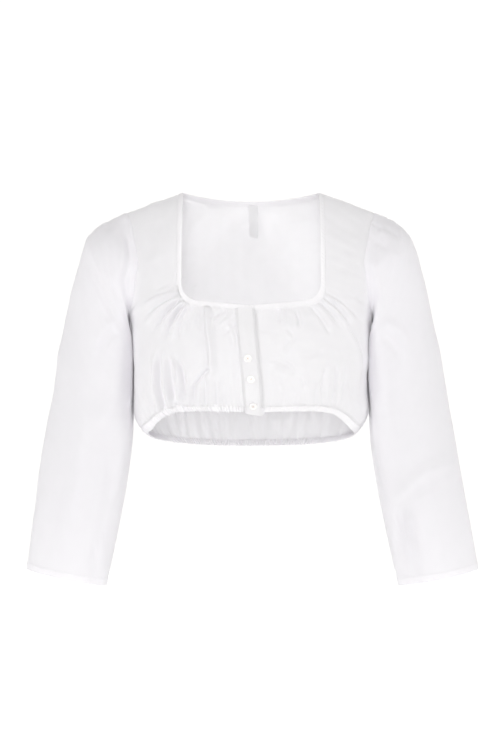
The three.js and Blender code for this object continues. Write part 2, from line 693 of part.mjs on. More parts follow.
addFront('right');
addFront('left');
addBack();
addSleeve('right');
addSleeve('left');
addCasings();
addNeckBinding();
addPlackets();
addButtons();
addLabel();

export default blouse;
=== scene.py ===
"""A short gathered blouse of white cotton, worn and hollow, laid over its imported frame.

Lengths in the tables and functions are millimetres and become metres as a mesh is made. The front
faces -Y and the wearer's right is -X. A place on the body's form is an angle from the centre front
and a distance down from the shoulder line, and lift is the height above the form.
"""

import bpy
import numpy as np
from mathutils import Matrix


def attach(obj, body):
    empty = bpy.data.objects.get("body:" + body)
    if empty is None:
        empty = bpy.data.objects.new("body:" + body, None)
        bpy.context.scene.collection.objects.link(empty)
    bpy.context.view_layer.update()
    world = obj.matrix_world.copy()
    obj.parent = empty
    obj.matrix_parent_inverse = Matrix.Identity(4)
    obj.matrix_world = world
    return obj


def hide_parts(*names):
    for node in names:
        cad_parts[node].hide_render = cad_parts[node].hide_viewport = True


bl_info = {
    "name": "Gathered Blouse",
    "version": (1, 0, 0),
    "blender": (4, 5, 0),
    "location": "View3D > Sidebar > Blouse",
    "description": "Makes a short cotton blouse with a bound neckline, gathers and an elastic hem",
    "category": "Add Mesh",
}

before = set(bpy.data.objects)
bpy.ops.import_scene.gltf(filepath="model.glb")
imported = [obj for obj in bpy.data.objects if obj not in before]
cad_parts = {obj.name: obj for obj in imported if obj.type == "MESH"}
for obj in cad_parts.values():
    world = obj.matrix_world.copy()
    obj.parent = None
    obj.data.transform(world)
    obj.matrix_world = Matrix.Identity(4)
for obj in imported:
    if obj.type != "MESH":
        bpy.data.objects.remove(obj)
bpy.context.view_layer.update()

MM = 0.001


def table(columns, *rows):
    """Named columns of numbers from rows."""
    return {name: np.array(column, float) for name, column in zip(columns.split(), zip(*rows))}


# Cloth
DOUBLE_CLOTH = 0.9  # a folded band
TUCK = 3.5  # how far a panel's edge reaches into the band that holds it
TUCK_FADE = 1.5, 5.5  # where its relief starts and is full, from that edge
SEAM_GROOVE = 0.2
FLUSH = 0.8  # how far a front rises to meet its casing's face

# Shoulders
SHOULDER_SLOPE = 0.37
NECK_BLEND = 25
SHOULDER_DEPTH = 50
SHOULDER_DROP = 90

# Neckline
NECK_HALF = 94.5
NECK_DEPTH = 161
NECK_CORNER_DEPTH = 152
NECK_CORNER_ROUND = 26
BACK_NECK_DIP = 8
BINDING = 7
BINDING_THICK = 1.5

# Body
BODY = table(
    "down half_width front back",
    (0, 186, 0, 0),
    (60, 185, 18, 22),
    (100, 180, 30, 34),
    (140, 173, 42, 40),
    (178, 168.5, 53, 42),
    (225, 164, 62, 41),
    (265, 163, 65, 39),
    (310, 163, 62, 37),
    (360, 163, 57, 36),
)
FRONT_CORNER = 2.6
BACK_CORNER = 2.4
FULL_DEPTH = 9
FULL_ACROSS, FULL_DOWN = 72, 228
FULL_WIDE, FULL_HIGH = 42, 46

# Hem
HEM = table(
    "angle down",
    (0, 305), (35, 304), (50, 308), (60, 317), (72, 329), (90, 337), (120, 348), (150, 355), (180, 357),
)
CENTRE_HEM = 305
HEM_PULL = 19
HEM_RISE = 30
CASING = 9
CASING_THICK = 1.9
HEM_RADIUS = 140  # about, for the pitch of a casing's ripples

# Armhole and sleeves
ARMPIT = 178
ARMHOLE = table(
    "along down front back",
    (0, 0, 67.6, 67.6),
    (0.19, 30, 61.8, 63),
    (0.46, 86, 58.8, 61),
    (0.67, 139, 68, 69),
    (0.78, 160, 75, 76),
    (0.87, 170, 81.5, 82),
    (1, 178, 90, 90),
)
SLEEVE = table(
    "ring outer_x outer_z inner_x inner_back inner_z half_depth forward",
    (0, 172, -30, 168.5, 0, -178, 52, 0),
    (1, 187, -35, 170.6, 13, -182, 55, 0),
    (2, 202, -41, 169.2, 26, -191, 57, 0),
    (3, 217, -50, 166.8, 34.5, -201, 57, 1),
    (4, 230, -67, 164.6, 40.5, -213, 56, 2),
    (5, 241.5, -99, 163, 43, -227, 55, 3),
    (6, 253, -146, 162.4, 43, -246, 54, 4),
    (7, 264, -202, 162.6, 39, -272, 53, 6),
    (8, 273, -260, 165, 29, -306, 52, 8),
    (9, 283, -322, 166.5, 20, -350, 50, 10),
    (10, 294, -390, 174.5, 12, -412, 47, 13),
    (11, 303, -460, 187, 5, -480, 44, 16),
    (12, 311, -524, 201, 0, -547, 42, 19),
)
SLEEVE_RINGS = 12
RING_SETTLE = 0.3
# Wider at its middle, cuff further out and, by the body, squareness, how late it shears back and
# how much closer its front corner lies
HANG = {"right": (0, 0, 5, 9, 3.5), "left": (-6, 4, 6, 14, 4.5)}
CUFF_SHARE = 10 / 64 / SLEEVE_RINGS  # a 10 mm hem as a share of the sleeve's length
SLEEVE_LONG, SLEEVE_ROUND = 500, 330

# Closure
LAP_TOP = 4
LAP_HEM = 17
PLACKET = 26
PLACKET_DROP = 5
UNDER_LAP = 4
PLACKET_RISE = 3.5
PLACKET_LIFT = 0.85
UNDER_LIFT = -0.5
BUTTONS = table("x down", (-4.4, 233), (0, 261), (3.1, 296))
BUTTON_THICK = 2.4
BUTTON_RIM = 5.6, 5.6, 5.5, 5.3, 5.0, 4.7, 4.4, 4.15, 3.9, 3.7  # radii in from the edge
BUTTON_DISH = 0.75
HOLE_AT = 1.35  # how far a hole lies from the button's middle, both ways
HOLE_DEPTH = 1.25
STRAND = 3.9
HOLE_SHIFT = 4.2  # how far a buttonhole's middle lies beside its button's

# Where a row of stitches runs across its band
BINDING_ROW, FOLD_ROW, BAND_ROWS = 0.8, 0.86, (0.09, 0.91)

# Label
LABEL_WIDTH, LABEL_LENGTH, LABEL_X = 13, 33, 3

# Stage: the floor in millimetres, and in metres each light's place, aim and width, with its power in
# watts, and the camera's place and aim
FLOOR_HALF, FLOOR_UP = 9000.0, -1400.0
MIDDLE = 0, 0, -0.25
LIGHTS = (
    ("right side", (-2.4, -2.1, 0.9), MIDDLE, 0.8, 19),
    ("left side", (2.6, -1.8, 0.7), MIDDLE, 1.0, 18),
    ("front", (-0.15, -3.3, 0.1), MIDDLE, 1.0, 36),
    ("back", (0, 1.2, 0.4), (0, 0, -0.15), 0.8, 11.5),
    ("right rim", (-2.6, 0.7, 0), MIDDLE, 1.5, 10),
    ("left rim", (2.6, 0.7, 0), MIDDLE, 1.5, 12),
)
CAMERA = (-0.0014, -2.8, -0.255), (-0.0014, 0, -0.255)

# Creases, each between two places, across from the centre and down. bow bends it outwards, a
# height below 0 is a trough, and a steep one falls off fast on its outer side.
CREASE = "across down to_across to_down bow width height steep"
FRONT_CREASES = {
    "right": table(
        CREASE,
        # the pleat beside the closure
        (62, 158, 58, 212, 0, 6, 5, 0.9),
        (58, 206, 56, 254, -1, 6, 4.6, 0.9),
        # the fan at the neckline's corner
        (98, 143, 148, 162, 4, 4, 2.4, 0.2),
        (97, 149, 141, 181, 3, 4, 3.4, 0.3),
        (92, 156, 124, 198, 3, 3.8, 3, 0.3),
        (86, 160, 107, 205, 2, 3.3, 2.4, 0.3),
        (98, 147, 144, 172, 3, 2.4, -2, 0),
        (95, 153, 133, 194, 3, 2.6, -3.4, 0),
        (90, 159, 115, 203, 3, 2.4, -3, 0),
        (83, 162, 98, 206, 4, 2.4, -2, 0),
        (76, 164, 86, 196, 2, 2.4, -1.2, 0),
        # puckers below the binding
        (54, 180, 34, 166, 0, 2.7, -1.8, 0),
        (44, 190, 22, 170, 1, 2.8, 1.6, 0),
        (38, 200, 16, 178, 2, 3, -1.8, 0),
        (45, 171, 51, 200, 2, 3.4, 1.6, 0.3),
        (31, 186, 24, 216, -2, 3.4, 1.4, 0),
        (72, 168, 70, 194, 1, 3, -1.2, 0),
        # gathers above the hem
        (154, 246, 142, 312, 4, 4.6, 2.4, 0),
        (143, 236, 133, 308, 5, 4.6, 3, 0),
        (128, 221, 121, 311, 6, 4.2, 4.2, 0),
        (122, 232, 113, 308, 6, 3, -3, 0),
        (116, 228, 105, 303, 6, 4.2, 4.2, 0),
        (109, 238, 98, 300, 4, 3, -3, 0),
        (106, 232, 102, 293, -7, 3.8, 3.8, 0),
        (98, 236, 94, 293, -7, 2.6, -3.4, 0),
        (88, 250, 86, 296, -2, 3.6, 2, 0),
        (56, 247, 76, 270, 2, 2.5, -3.6, 0),
        (76, 266, 77, 293, 0, 2.5, -3.2, 0),
        (70, 272, 69, 298, 0, 4, 2.4, 0),
        (61, 256, 61, 298, 0, 2.8, -2, 0),
        (53, 262, 53, 298, 0, 3.6, 1.6, 0),
        (45, 264, 46, 297, 1, 2.8, -1.4, 0),
        (38, 262, 38, 296, 1, 3.4, 1.2, 0),
    ),
    "left": table(
        CREASE,
        # the fan at the neckline's corner
        (80, 161, 104, 196, 2, 2.6, -2.4, 0),
        (86, 157, 112, 192, 2, 3.6, 1.5, 0.2),
        (91, 154, 122, 190, 2, 2.4, -2.2, 0),
        (94, 151, 130, 187, 3, 3.4, 2.2, 0.3),
        (96, 148, 137, 186, 3, 2.4, -2.2, 0),
        (97, 144, 144, 184, 4, 3.4, 2, 0.2),
        (98, 142, 148, 178, 4, 2.4, -1.8, 0),
        (134, 186, 154, 262, 8, 3, -3, 0),
        (127, 190, 147, 262, 8, 5, 2.4, 0),
        # puckers and swirls below the binding
        (36, 163, 38, 184, 0, 2.6, -2.4, 0),
        (43, 164, 45, 184, 0, 3.4, 1.4, 0),
        (59, 168, 64, 190, 3, 3, -2.4, 0),
        (53, 168, 58, 192, 3, 4, 1.4, 0),
        (14, 194, 42, 201, 1, 4, -1, 0),
        (46, 193, 58, 206, 3, 3.6, -2, 0),
        (58, 205, 46, 224, -3, 3.8, -1.7, 0),
        (28, 213, 46, 211, -2, 6, 1.2, 0),
        (26, 235, 52, 244, 2, 3.6, -1.8, 0),
        (52, 242, 56, 254, 1, 3.2, -1.6, 0),
        (30, 249, 47, 254, 1, 6, 1.2, 0),
        (27, 266, 60, 258, -1, 4, -1, 0),
        (67, 257, 70, 270, 0, 3.4, -1.7, 0),
        (72, 269, 90, 264, -1, 5, 1.4, 0),
        (70, 231, 98, 217, -3, 4.5, -1.2, 0),
        # above the hem
        (101, 244, 96, 294, -3, 2.6, -2, 0),
        (107, 242, 103, 292, -2, 3.8, 2, 0),
        (114, 246, 110, 292, 1, 2.6, -2.4, 0),
        (120, 242, 116, 294, 2, 3.8, 2, 0),
        (128, 246, 122, 296, 2, 2.6, -2, 0),
        (88, 262, 86, 296, 0, 3, -1.6, 0),
        (146, 240, 136, 306, 4, 4.4, 1.8, 0),
    ),
}
# The back's, with across counted to the left from the centre back.
BACK_CREASES = table(
    CREASE,
    (-136, 258, -110, 344, 0, 4, 2.6, 0),
    (-124, 262, -104, 345, 0, 3.6, -2.2, 0),
    (-118, 255, -98, 345, 1, 3.6, 2.8, 0),
    (-106, 262, -93, 345, 0, 3.4, -2.2, 0),
    (-102, 250, -88, 345, 0, 3.6, 2.8, 0),
    (-90, 262, -78, 346, 0, 3.6, -2.4, 0),
    (-85, 244, -68, 346, 1, 3.8, 3, 0),
    (-74, 262, -61, 347, 0, 3.4, -2.2, 0),
    (-69, 248, -54, 347, 0, 3.8, 3, 0),
    (-58, 262, -46, 348, 0, 3.4, -2.2, 0),
    (-53, 252, -39, 348, 0, 3.8, 2.8, 0),
    (-42, 266, -31, 348, 0, 3.6, -2, 0),
    (-32, 240, -22, 348, 1, 4, 2.6, 0),
    (-16, 238, 0, 349, 1, 4.2, 3.6, 0),
    (-6, 262, 8, 349, 0, 4, -2.4, 0),
    (26, 240, 19, 349, 0, 4, 3.8, 0),
    (36, 262, 30, 349, 0, 3.6, -2, 0),
    (47, 266, 42, 348, 0, 3.4, 2, 0),
    (66, 256, 57, 348, 0, 3.8, 3, 0),
    (74, 268, 66, 347, 0, 3.4, -1.8, 0),
    (84, 262, 76, 346, 0, 3.6, 2.2, 0),
    (99, 258, 90, 345, -1, 3.6, 2.4, 0),
    (112, 262, 101, 345, -1, 3.6, -2, 0),
    (122, 254, 110, 344, -1, 4, 2.6, 0),
    (-96, 60, -128, 108, 5, 9, 1.6, 0),
    (98, 62, 126, 112, 5, 9, 1.8, 0),
    (-138, 178, -92, 214, -6, 8, 1.8, 0),
    (140, 176, 96, 206, 6, 8, 1.6, 0),
    (-40, 120, 46, 128, 5, 14, 1.2, 0),
)
# The sleeves', across and down as seen from the front, and then as seen from behind.
SLEEVE_CREASES = {
    "right": (
        table(
            CREASE,
            (178, 66, 186, 128, -5, 7, 2.2, 0),
            (170, 70, 172, 120, -3, 4, -1.6, 0),
            (196, 44, 214, 78, 3, 6, -1.3, 0),
            (184, 178, 214, 214, 4, 9, 2, 0),
            (180, 196, 206, 240, 4, 7, -1.6, 0),
            (182, 236, 206, 330, -6, 11, 2.2, 0),
            (244, 150, 256, 300, 5, 14, -1.6, 0),
            (214, 300, 240, 470, 6, 18, 2.4, 0),
            (190, 360, 206, 470, -4, 9, -2.4, 0),
            (200, 470, 206, 548, 2, 5, 2.2, 0),
            (212, 480, 216, 545, 1, 6, -1.6, 0),
            (262, 400, 276, 520, 3, 13, -1.5, 0),
        ),
        table(
            CREASE,
            (180, 60, 190, 124, -4, 8, 2, 0),
            (186, 172, 220, 206, 5, 9, 2.2, 0),
            (182, 192, 212, 238, 4, 7, -1.8, 0),
            (236, 160, 252, 300, 4, 13, 1.8, 0),
            (196, 290, 214, 420, -5, 12, -2, 0),
            (224, 330, 262, 360, 5, 10, 2, 0),
            (240, 420, 262, 530, 4, 12, -1.6, 0),
        ),
    ),
    "left": (
        table(
            CREASE,
            (168, 42, 178, 54, 1, 4.5, -0.9, 0),
            (178, 56, 190, 66, 1, 5, 0.9, 0),
            (184, 52, 206, 66, 2, 5, -1, 0),
            (170, 70, 186, 82, 1, 5.5, -0.9, 0),
            (190, 86, 206, 94, 1, 6, 0.8, 0),
            (172, 100, 176, 140, -3, 6, 1.5, 0),
            (182, 182, 216, 206, 4, 8, 1.8, 0),
            (180, 200, 208, 236, 4, 6, -1.5, 0),
            (186, 250, 196, 340, -5, 10, 1.6, 0),
            (201, 428, 276, 376, 7, 11, 4, 0),
            (206, 440, 228, 548, -4, 13, -9, 0),
            (236, 418, 284, 396, 3, 11, -2, 0),
            (246, 450, 262, 545, 4, 16, 2.2, 0),
            (250, 150, 264, 330, 5, 15, -1.5, 0),
            (196, 458, 204, 540, -3, 4, 1.5, 0),
        ),
        table(
            CREASE,
            (176, 58, 188, 118, -4, 8, 2, 0),
            (188, 174, 224, 200, 5, 9, 2, 0),
            (184, 194, 214, 236, 4, 7, -1.6, 0),
            (232, 170, 254, 320, 4, 13, 1.6, 0),
            (200, 380, 270, 350, 6, 12, 2.4, 0),
            (206, 420, 230, 540, -4, 13, -2.6, 0),
            (250, 420, 268, 535, 4, 12, 1.6, 0),
        ),
    ),
}


def smoothstep(x, low, high):
    """0 below low, 1 above high and a cubic with level ends between."""
    f = np.clip((x - low) / (high - low), 0, 1)
    return f * f * (3 - 2 * f)


def bell(x, wide):
    """A Gaussian bell, 1 where x is 0."""
    return np.exp(-((x / wide) ** 2))


def signed_power(x, power):
    """A power of x's size, with x's sign."""
    return np.sign(x) * np.abs(x) ** power


def grid_places(rows, columns):
    """The row and the column of each cell of a grid, in two flat arrays."""
    return [index.ravel() for index in np.meshgrid(np.arange(rows), np.arange(columns), indexing="ij")]


def lerp(a, b, f):
    """The point a share f of the way from a to b."""
    return a + (b - a) * f


def read(rows, key, place, column):
    """A table's column at a place: a cubic through its rows with centred slopes, held at its ends."""
    keys, values = rows[key], rows[column]
    last = len(keys) - 1
    before, after = np.maximum(np.arange(last + 1) - 1, 0), np.minimum(np.arange(last + 1) + 1, last)
    slopes = (values[after] - values[before]) / (keys[after] - keys[before])
    place = np.clip(place, keys[0], keys[last])
    end = np.clip(np.searchsorted(keys, place), 1, last)
    step = keys[end] - keys[end - 1]
    f = (place - keys[end - 1]) / step
    stay = (1 + 2 * f) * (1 - f) ** 2
    bend = f * (1 - f) ** 2 * slopes[end - 1] + f * f * (f - 1) * slopes[end]
    return stay * values[end - 1] + (1 - stay) * values[end] + step * bend


def swell(x, y, size, seed):
    """Soft rolling heights of about 1: six plane waves of about one length in seeded directions."""
    rng = np.random.default_rng(seed)
    total = 0
    for _ in range(6):
        heading, length, start = rng.uniform(0, np.pi), size * rng.uniform(0.7, 1.5), rng.uniform(0, 6.3)
        total = total + np.sin(2 * np.pi * (x * np.cos(heading) + y * np.sin(heading)) / length + start)
    return total / 2.4


def gathers(place, depth, pitch, reach, height, seed, lean=0.0):
    """Uneven gathers along an edge.

    place runs along the edge, whose pitch is stretched and squeezed by two slow waves, and depth
    away from it. Each cell holds one crest, a sine raised to 1.5, with its own seeded height, and
    it dies out as a bell of its own seeded reach.
    """
    rng = np.random.default_rng(seed)
    own, far = rng.uniform(0.3, 1, 512), rng.uniform(0.5, 1.35, 512)
    walk = (place + lean * depth) / pitch
    warped = walk + 0.3 * np.sin(0.83 * walk + seed) + 0.9 * np.sin(0.23 * walk + 2 * seed)
    cell = np.floor(warped).astype(int)
    crest = np.sin(np.pi * (warped - cell)) ** 1.5 * own[cell % 512]
    depth = np.maximum(depth, 0)
    fall = np.exp(-((depth / (reach * far[cell % 512])) ** 1.4))
    return height * (crest * fall - 0.36 * np.exp(-((depth / reach) ** 1.4)))


def all_gathers(place, depth, seed, *sizes):
    """Gathers of several sizes added up: the pitch, reach, height and lean of each."""
    return sum(
        gathers(place, depth, pitch, reach, height, seed + number, lean)
        for number, (pitch, reach, height, lean) in enumerate(sizes)
    )


def seam_groove(away, along, wide=1.3, uneven=0.3, pitch=2.6):
    """The trough of a seam, by the distance from it and along it, a little uneven at each stitch."""
    return -SEAM_GROOVE * bell(away, wide) * (1 + uneven * np.sin(along / pitch))


def creases(rows, across, down):
    """The summed height of a table of creases.

    Along each line its height rises and falls smoothly past the ends. Across the line it is a bell,
    narrower on the outer side of a steep one, about a centre that bows out as a parabola.
    """
    total = np.zeros(np.broadcast(across, down).shape)
    for a, d, to_a, to_d, bow, width, height, steep in zip(*rows.values()):
        run = np.array([to_a - a, to_d - d])
        length = np.hypot(*run)
        along = ((across - a) * run[0] + (down - d) * run[1]) / length**2
        inside = np.clip(along, 0, 1)
        beside = ((across - a) * run[1] - (down - d) * run[0]) / length - 4 * bow * inside * (1 - inside)
        wide = width * np.where(beside > 0, 1 - 0.7 * steep, 1 + 0.4 * steep)
        ends = smoothstep(along, -0.18, 0.25) * (1 - smoothstep(along, 0.7, 1.2))
        total += height * ends * bell(beside, wide)
    return total


def hem_down(angle):
    """How far down the hem lies at an angle from the centre front."""
    turned = np.abs(np.arctan2(np.sin(angle), np.cos(angle)))
    return read(HEM, "angle", np.degrees(turned), "down")


def shoulder_line(x):
    """The shoulder line's height: a straight slope, rounded off at the neck."""
    return SHOULDER_SLOPE * (np.hypot(NECK_HALF, NECK_BLEND) - np.hypot(x, NECK_BLEND))


def half_width(down):
    """Half the body's width at a distance down."""
    return read(BODY, "down", down, "half_width")


def angle_at(x, down):
    """The angle of a place with a given x."""
    return np.arcsin(np.clip(x / half_width(down), -1, 1))


def form(angle, down):
    """Points of the body's form.

    Each level is a superellipse, squarer than an ellipse, whose depth is a rounded shoulder top
    plus the table's and, on the front, a soft bell of fullness on each side. Near the hem the
    elastic draws it in. A negative distance down goes over the shoulder to the other side.
    """
    over = np.abs(down)
    half = half_width(over)
    across = half * np.sin(angle)
    in_front = (np.cos(angle) > 0) == (down >= 0)
    top = SHOULDER_DEPTH * np.sqrt(1 - (1 - np.minimum(over / SHOULDER_DROP, 1)) ** 2)
    a, b = (np.abs(across) - FULL_ACROSS) / FULL_WIDE, (over - FULL_DOWN) / FULL_HIGH
    front = top + read(BODY, "down", over, "front") + FULL_DEPTH * np.exp(-a * a - b * b)
    back = top + read(BODY, "down", over, "back")
    corner = np.where(in_front, FRONT_CORNER, BACK_CORNER)
    section = np.maximum(1 - np.abs(np.sin(angle)) ** corner, 0) ** (1 / corner)
    drawn = 1 - HEM_PULL / half * np.clip(1 - (hem_down(angle) - over) / HEM_RISE, 0, 1.3) ** 2
    y = np.where(in_front, -front, back) * section
    slope = shoulder_line(across) * (1 - smoothstep(over, 40, 140))
    return np.stack(np.broadcast_arrays(across * drawn, y * drawn, slope - over), axis=-1)


def outward(surface, a, b, step_a, step_b):
    """Unit directions straight out of a surface of two parameters, by central differences."""
    along_a = surface(a + step_a, b) - surface(a - step_a, b)
    along_b = surface(a, b + step_b) - surface(a, b - step_b)
    normal = np.cross(along_b, along_a)
    return normal / np.linalg.norm(normal, axis=-1, keepdims=True)


def on_form(angle, down, lift):
    """Points of cloth on the body's form, lifted straight off it."""
    angle, down, lift = np.broadcast_arrays(angle, down, lift)
    return form(angle, down) + outward(form, angle, down, 0.01, 0.4) * lift[..., None]


def both_faces(place, relief, made):
    """The outer and the inner face of one layer of cloth, where place gives its points at a lift."""
    half = made.cloth_thickness / MM / 2
    return place(relief + half), place(relief - half)


def run_length(points, axis):
    """The distance walked along one axis of a grid of points, from 0."""
    steps = np.linalg.norm(np.diff(points, axis=axis), axis=-1)
    start = [(1, 0) if i == axis else (0, 0) for i in range(2)]
    return np.cumsum(np.pad(steps, start), axis=axis)


def neck_line(grow):
    """The neckline's front half moved out by grow, as x, distance down and length from the centre.

    A straight bottom edge rises a little to a corner, a quadratic curve, and a straight side edge.
    """
    half, bottom, corner = NECK_HALF + grow, NECK_DEPTH + grow, NECK_CORNER_DEPTH + grow
    t = np.linspace(0, 1, 60)
    first = lerp(bottom, corner, 1 - NECK_CORNER_ROUND / half)
    x = (1 - t) ** 2 * (half - NECK_CORNER_ROUND) + 2 * t * (1 - t) * half + t * t * half
    down = (1 - t) ** 2 * first + 2 * t * (1 - t) * corner + t * t * (corner - NECK_CORNER_ROUND)
    x, down = np.concatenate([[0], x, [half]]), np.concatenate([[bottom], down, [0]])
    length = np.concatenate([[0], np.cumsum(np.hypot(np.diff(x), np.diff(down)))])
    return x, down, length


def neck_place(grow, length):
    """x and the distance down at a length along the neckline's front half."""
    x, down, lengths = neck_line(grow)
    return np.interp(length, lengths, x), np.interp(length, lengths, down)


def back_neck_place(share, grow):
    """x and the distance down of the back neckline, a shallow dip, moved out by grow."""
    x = share * NECK_HALF
    down = shoulder_line(x) + BACK_NECK_DIP * (1 - share**2) + 0.9 * grow * (1 - share**4)
    return x * (1 + grow / NECK_HALF), np.maximum(down, 0)


def lap_edge(down):
    """x of the lapped edge, which leans to the left downwards."""
    return lerp(LAP_TOP, LAP_HEM, (down - NECK_DEPTH) / (CENTRE_HEM - NECK_DEPTH))


def front_start(side, down):
    """How far from the centre a front's cloth starts, tucked under its band."""
    if side == "right":
        return PLACKET - TUCK - lap_edge(down)
    return lap_edge(down) - TUCK


def mesh_of(name, points, faces, corners=None):
    """A smooth mesh from points and arrays of faces, turned so that its faces point outwards."""
    volume = 0
    for face in faces:
        for k in range(1, face.shape[1] - 1):
            a, b, c = points[face[:, 0]], points[face[:, k]], points[face[:, k + 1]]
            volume += np.sum(a * np.cross(b, c))
    if volume < 0:
        faces = [face[:, ::-1] for face in faces]
        corners = corners and [corner[:, ::-1] for corner in corners]
    sides = np.concatenate([np.full(len(face), face.shape[1]) for face in faces])
    loops = np.concatenate([face.ravel() for face in faces])
    used, loops = np.unique(loops, return_inverse=True)
    mesh = bpy.data.meshes.new(name)
    mesh.vertices.add(len(used))
    mesh.vertices.foreach_set("co", (points[used] * MM).ravel())
    mesh.loops.add(len(loops))
    mesh.loops.foreach_set("vertex_index", loops.astype(np.int32))
    mesh.polygons.add(len(sides))
    mesh.polygons.foreach_set("loop_start", np.concatenate([[0], np.cumsum(sides)[:-1]]).astype(np.int32))
    mesh.update(calc_edges=True)
    if corners:
        flat = np.concatenate([corner.reshape(-1, 2) for corner in corners]) * MM
        mesh.uv_layers.new(name="cloth").data.foreach_set("uv", flat.ravel())
    if mesh.validate():
        raise RuntimeError(f"{name}: the mesh had faults")
    mesh.shade_smooth()
    mesh.set_sharp_from_angle(angle=np.radians(58))
    return mesh


def wall_mesh(name, outer, inner, uv, keep=None, closed=False):
    """A closed wall between two grids of points, with a rim round each open edge.

    uv is one column wider than a grid that closes round, and keep says which cells are there.
    """
    rows, columns = outer.shape[0] - 1, outer.shape[1] - (0 if closed else 1)
    keep = np.ones((rows, columns), bool) if keep is None else keep
    framed = np.pad(keep, 1)
    if closed:
        framed[:, 0], framed[:, -1] = framed[:, -2], framed[:, 1]
    r, c = np.nonzero(keep)
    cell = [(r, c), (r, c + 1), (r + 1, c + 1), (r + 1, c)]
    quads = [[(row, column, 0) for row, column in cell], [(row, column, 1) for row, column in cell[::-1]]]
    for side, (dr, dc) in enumerate([(-1, 0), (0, 1), (1, 0), (0, -1)]):
        rim = ~framed[r + 1 + dr, c + 1 + dc]
        (r0, c0), (r1, c1) = [(row[rim], column[rim]) for row, column in (cell[side], cell[(side + 1) % 4])]
        quads.append([(r1, c1, 0), (r0, c0, 0), (r0, c0, 1), (r1, c1, 1)])
    wide, size = outer.shape[1], outer.shape[0] * outer.shape[1]
    faces = [
        np.stack([layer * size + row * wide + column % wide for row, column, layer in q], 1)
        for q in quads
    ]
    corners = [np.stack([uv[row, column] for row, column, _ in q], 1) for q in quads]
    points = np.concatenate([outer.reshape(-1, 3), inner.reshape(-1, 3)])
    return mesh_of(name, points, faces, corners)


def tube_mesh(name, rings, closed=False):
    """A closed tube through rings of points, which either joins up or has flat ends."""
    count, around = rings.shape[:2]
    r, c = grid_places(count - (not closed), around)
    cell = [(r, c), (r, c + 1), (r + 1, c + 1), (r + 1, c)]
    faces = [np.stack([row % count * around + column % around for row, column in cell], 1)]
    long = np.linalg.norm(np.diff(rings[:, 0], axis=0, append=rings[:1, 0]), axis=-1).cumsum()
    wide = np.linalg.norm(np.diff(rings[0], axis=0, append=rings[0, :1]), axis=-1).cumsum()
    long, wide = np.concatenate([[0], long]), np.concatenate([[0], wide])
    corners = [np.stack([np.stack([long[row], wide[column]], -1) for row, column in cell], 1)]
    if not closed:
        for ring in (np.arange(around)[None, ::-1], (count - 1) * around + np.arange(around)[None]):
            faces.append(ring)
            corners.append(np.stack([wide[ring % around], 0 * wide[ring % around]], -1))
    return mesh_of(name, rings.reshape(-1, 3), faces, corners)


def oblong(steps, squareness):
    """A rounded oblong walked once round: shares across it and of half its thickness."""
    turn = 2 * np.pi * (np.arange(steps) + 0.5) / steps
    c, s = np.cos(turn), np.sin(turn)
    power = 2 / squareness
    return 0.5 - 0.5 * signed_power(c, power), signed_power(s, power)


class Strip:
    """A band of folded cloth: at(u, w, lift) is a point a share u along it and w across it."""

    def __init__(self, at, thick, middle=0.0, relief=None, squareness=5.0):
        self.at, self.thick, self.middle, self.squareness = at, thick, middle, squareness
        self.relief = relief or (lambda u, w: 0 * u * w)

    def mesh(self, name, stations, around=20, closed=False):
        """The band's mesh: a rounded oblong section carried along it, each side with its relief."""
        w, side = oblong(around, self.squareness)
        u = np.linspace(0, 1, stations, endpoint=not closed)[:, None]
        w, side = np.broadcast_arrays(w[None], side[None])
        lift = self.middle + side * (self.thick / 2 + self.relief(u, w))
        return tube_mesh(name, self.at(u, w, lift), closed)

    def top(self, u, w):
        """The lift of the band's outer face."""
        return self.middle + self.thick / 2 + self.relief(u, w)


def new_piece(name, mesh, material, slot, *nodes):
    """An object that rides on the body, stands for CAD nodes and has a finish."""
    piece = bpy.data.objects.new(name, mesh)
    mesh.materials.append(material)
    bpy.context.scene.collection.objects.link(piece)
    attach(piece, "root")
    if nodes:
        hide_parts(*nodes)
    return piece


def linked(tree, kind, **values):
    """A new node with its inputs set, or linked where a value is a socket. _ stands for a space."""
    node = tree.nodes.new(kind)
    for name, value in values.items():
        if name == "operation":
            node.operation = value
            continue
        numbered = name[0] == "i" and name[1:].isdigit()
        socket = node.inputs[int(name[1:]) if numbered else name.replace("_", " ")]
        if isinstance(value, bpy.types.NodeSocket):
            tree.links.new(value, socket)
        else:
            socket.default_value = value
    return node


def maths(tree, operation, a, b=0.0):
    """The value of one sum on two values."""
    return linked(tree, "ShaderNodeMath", operation=operation, i0=a, i1=b).outputs[0]


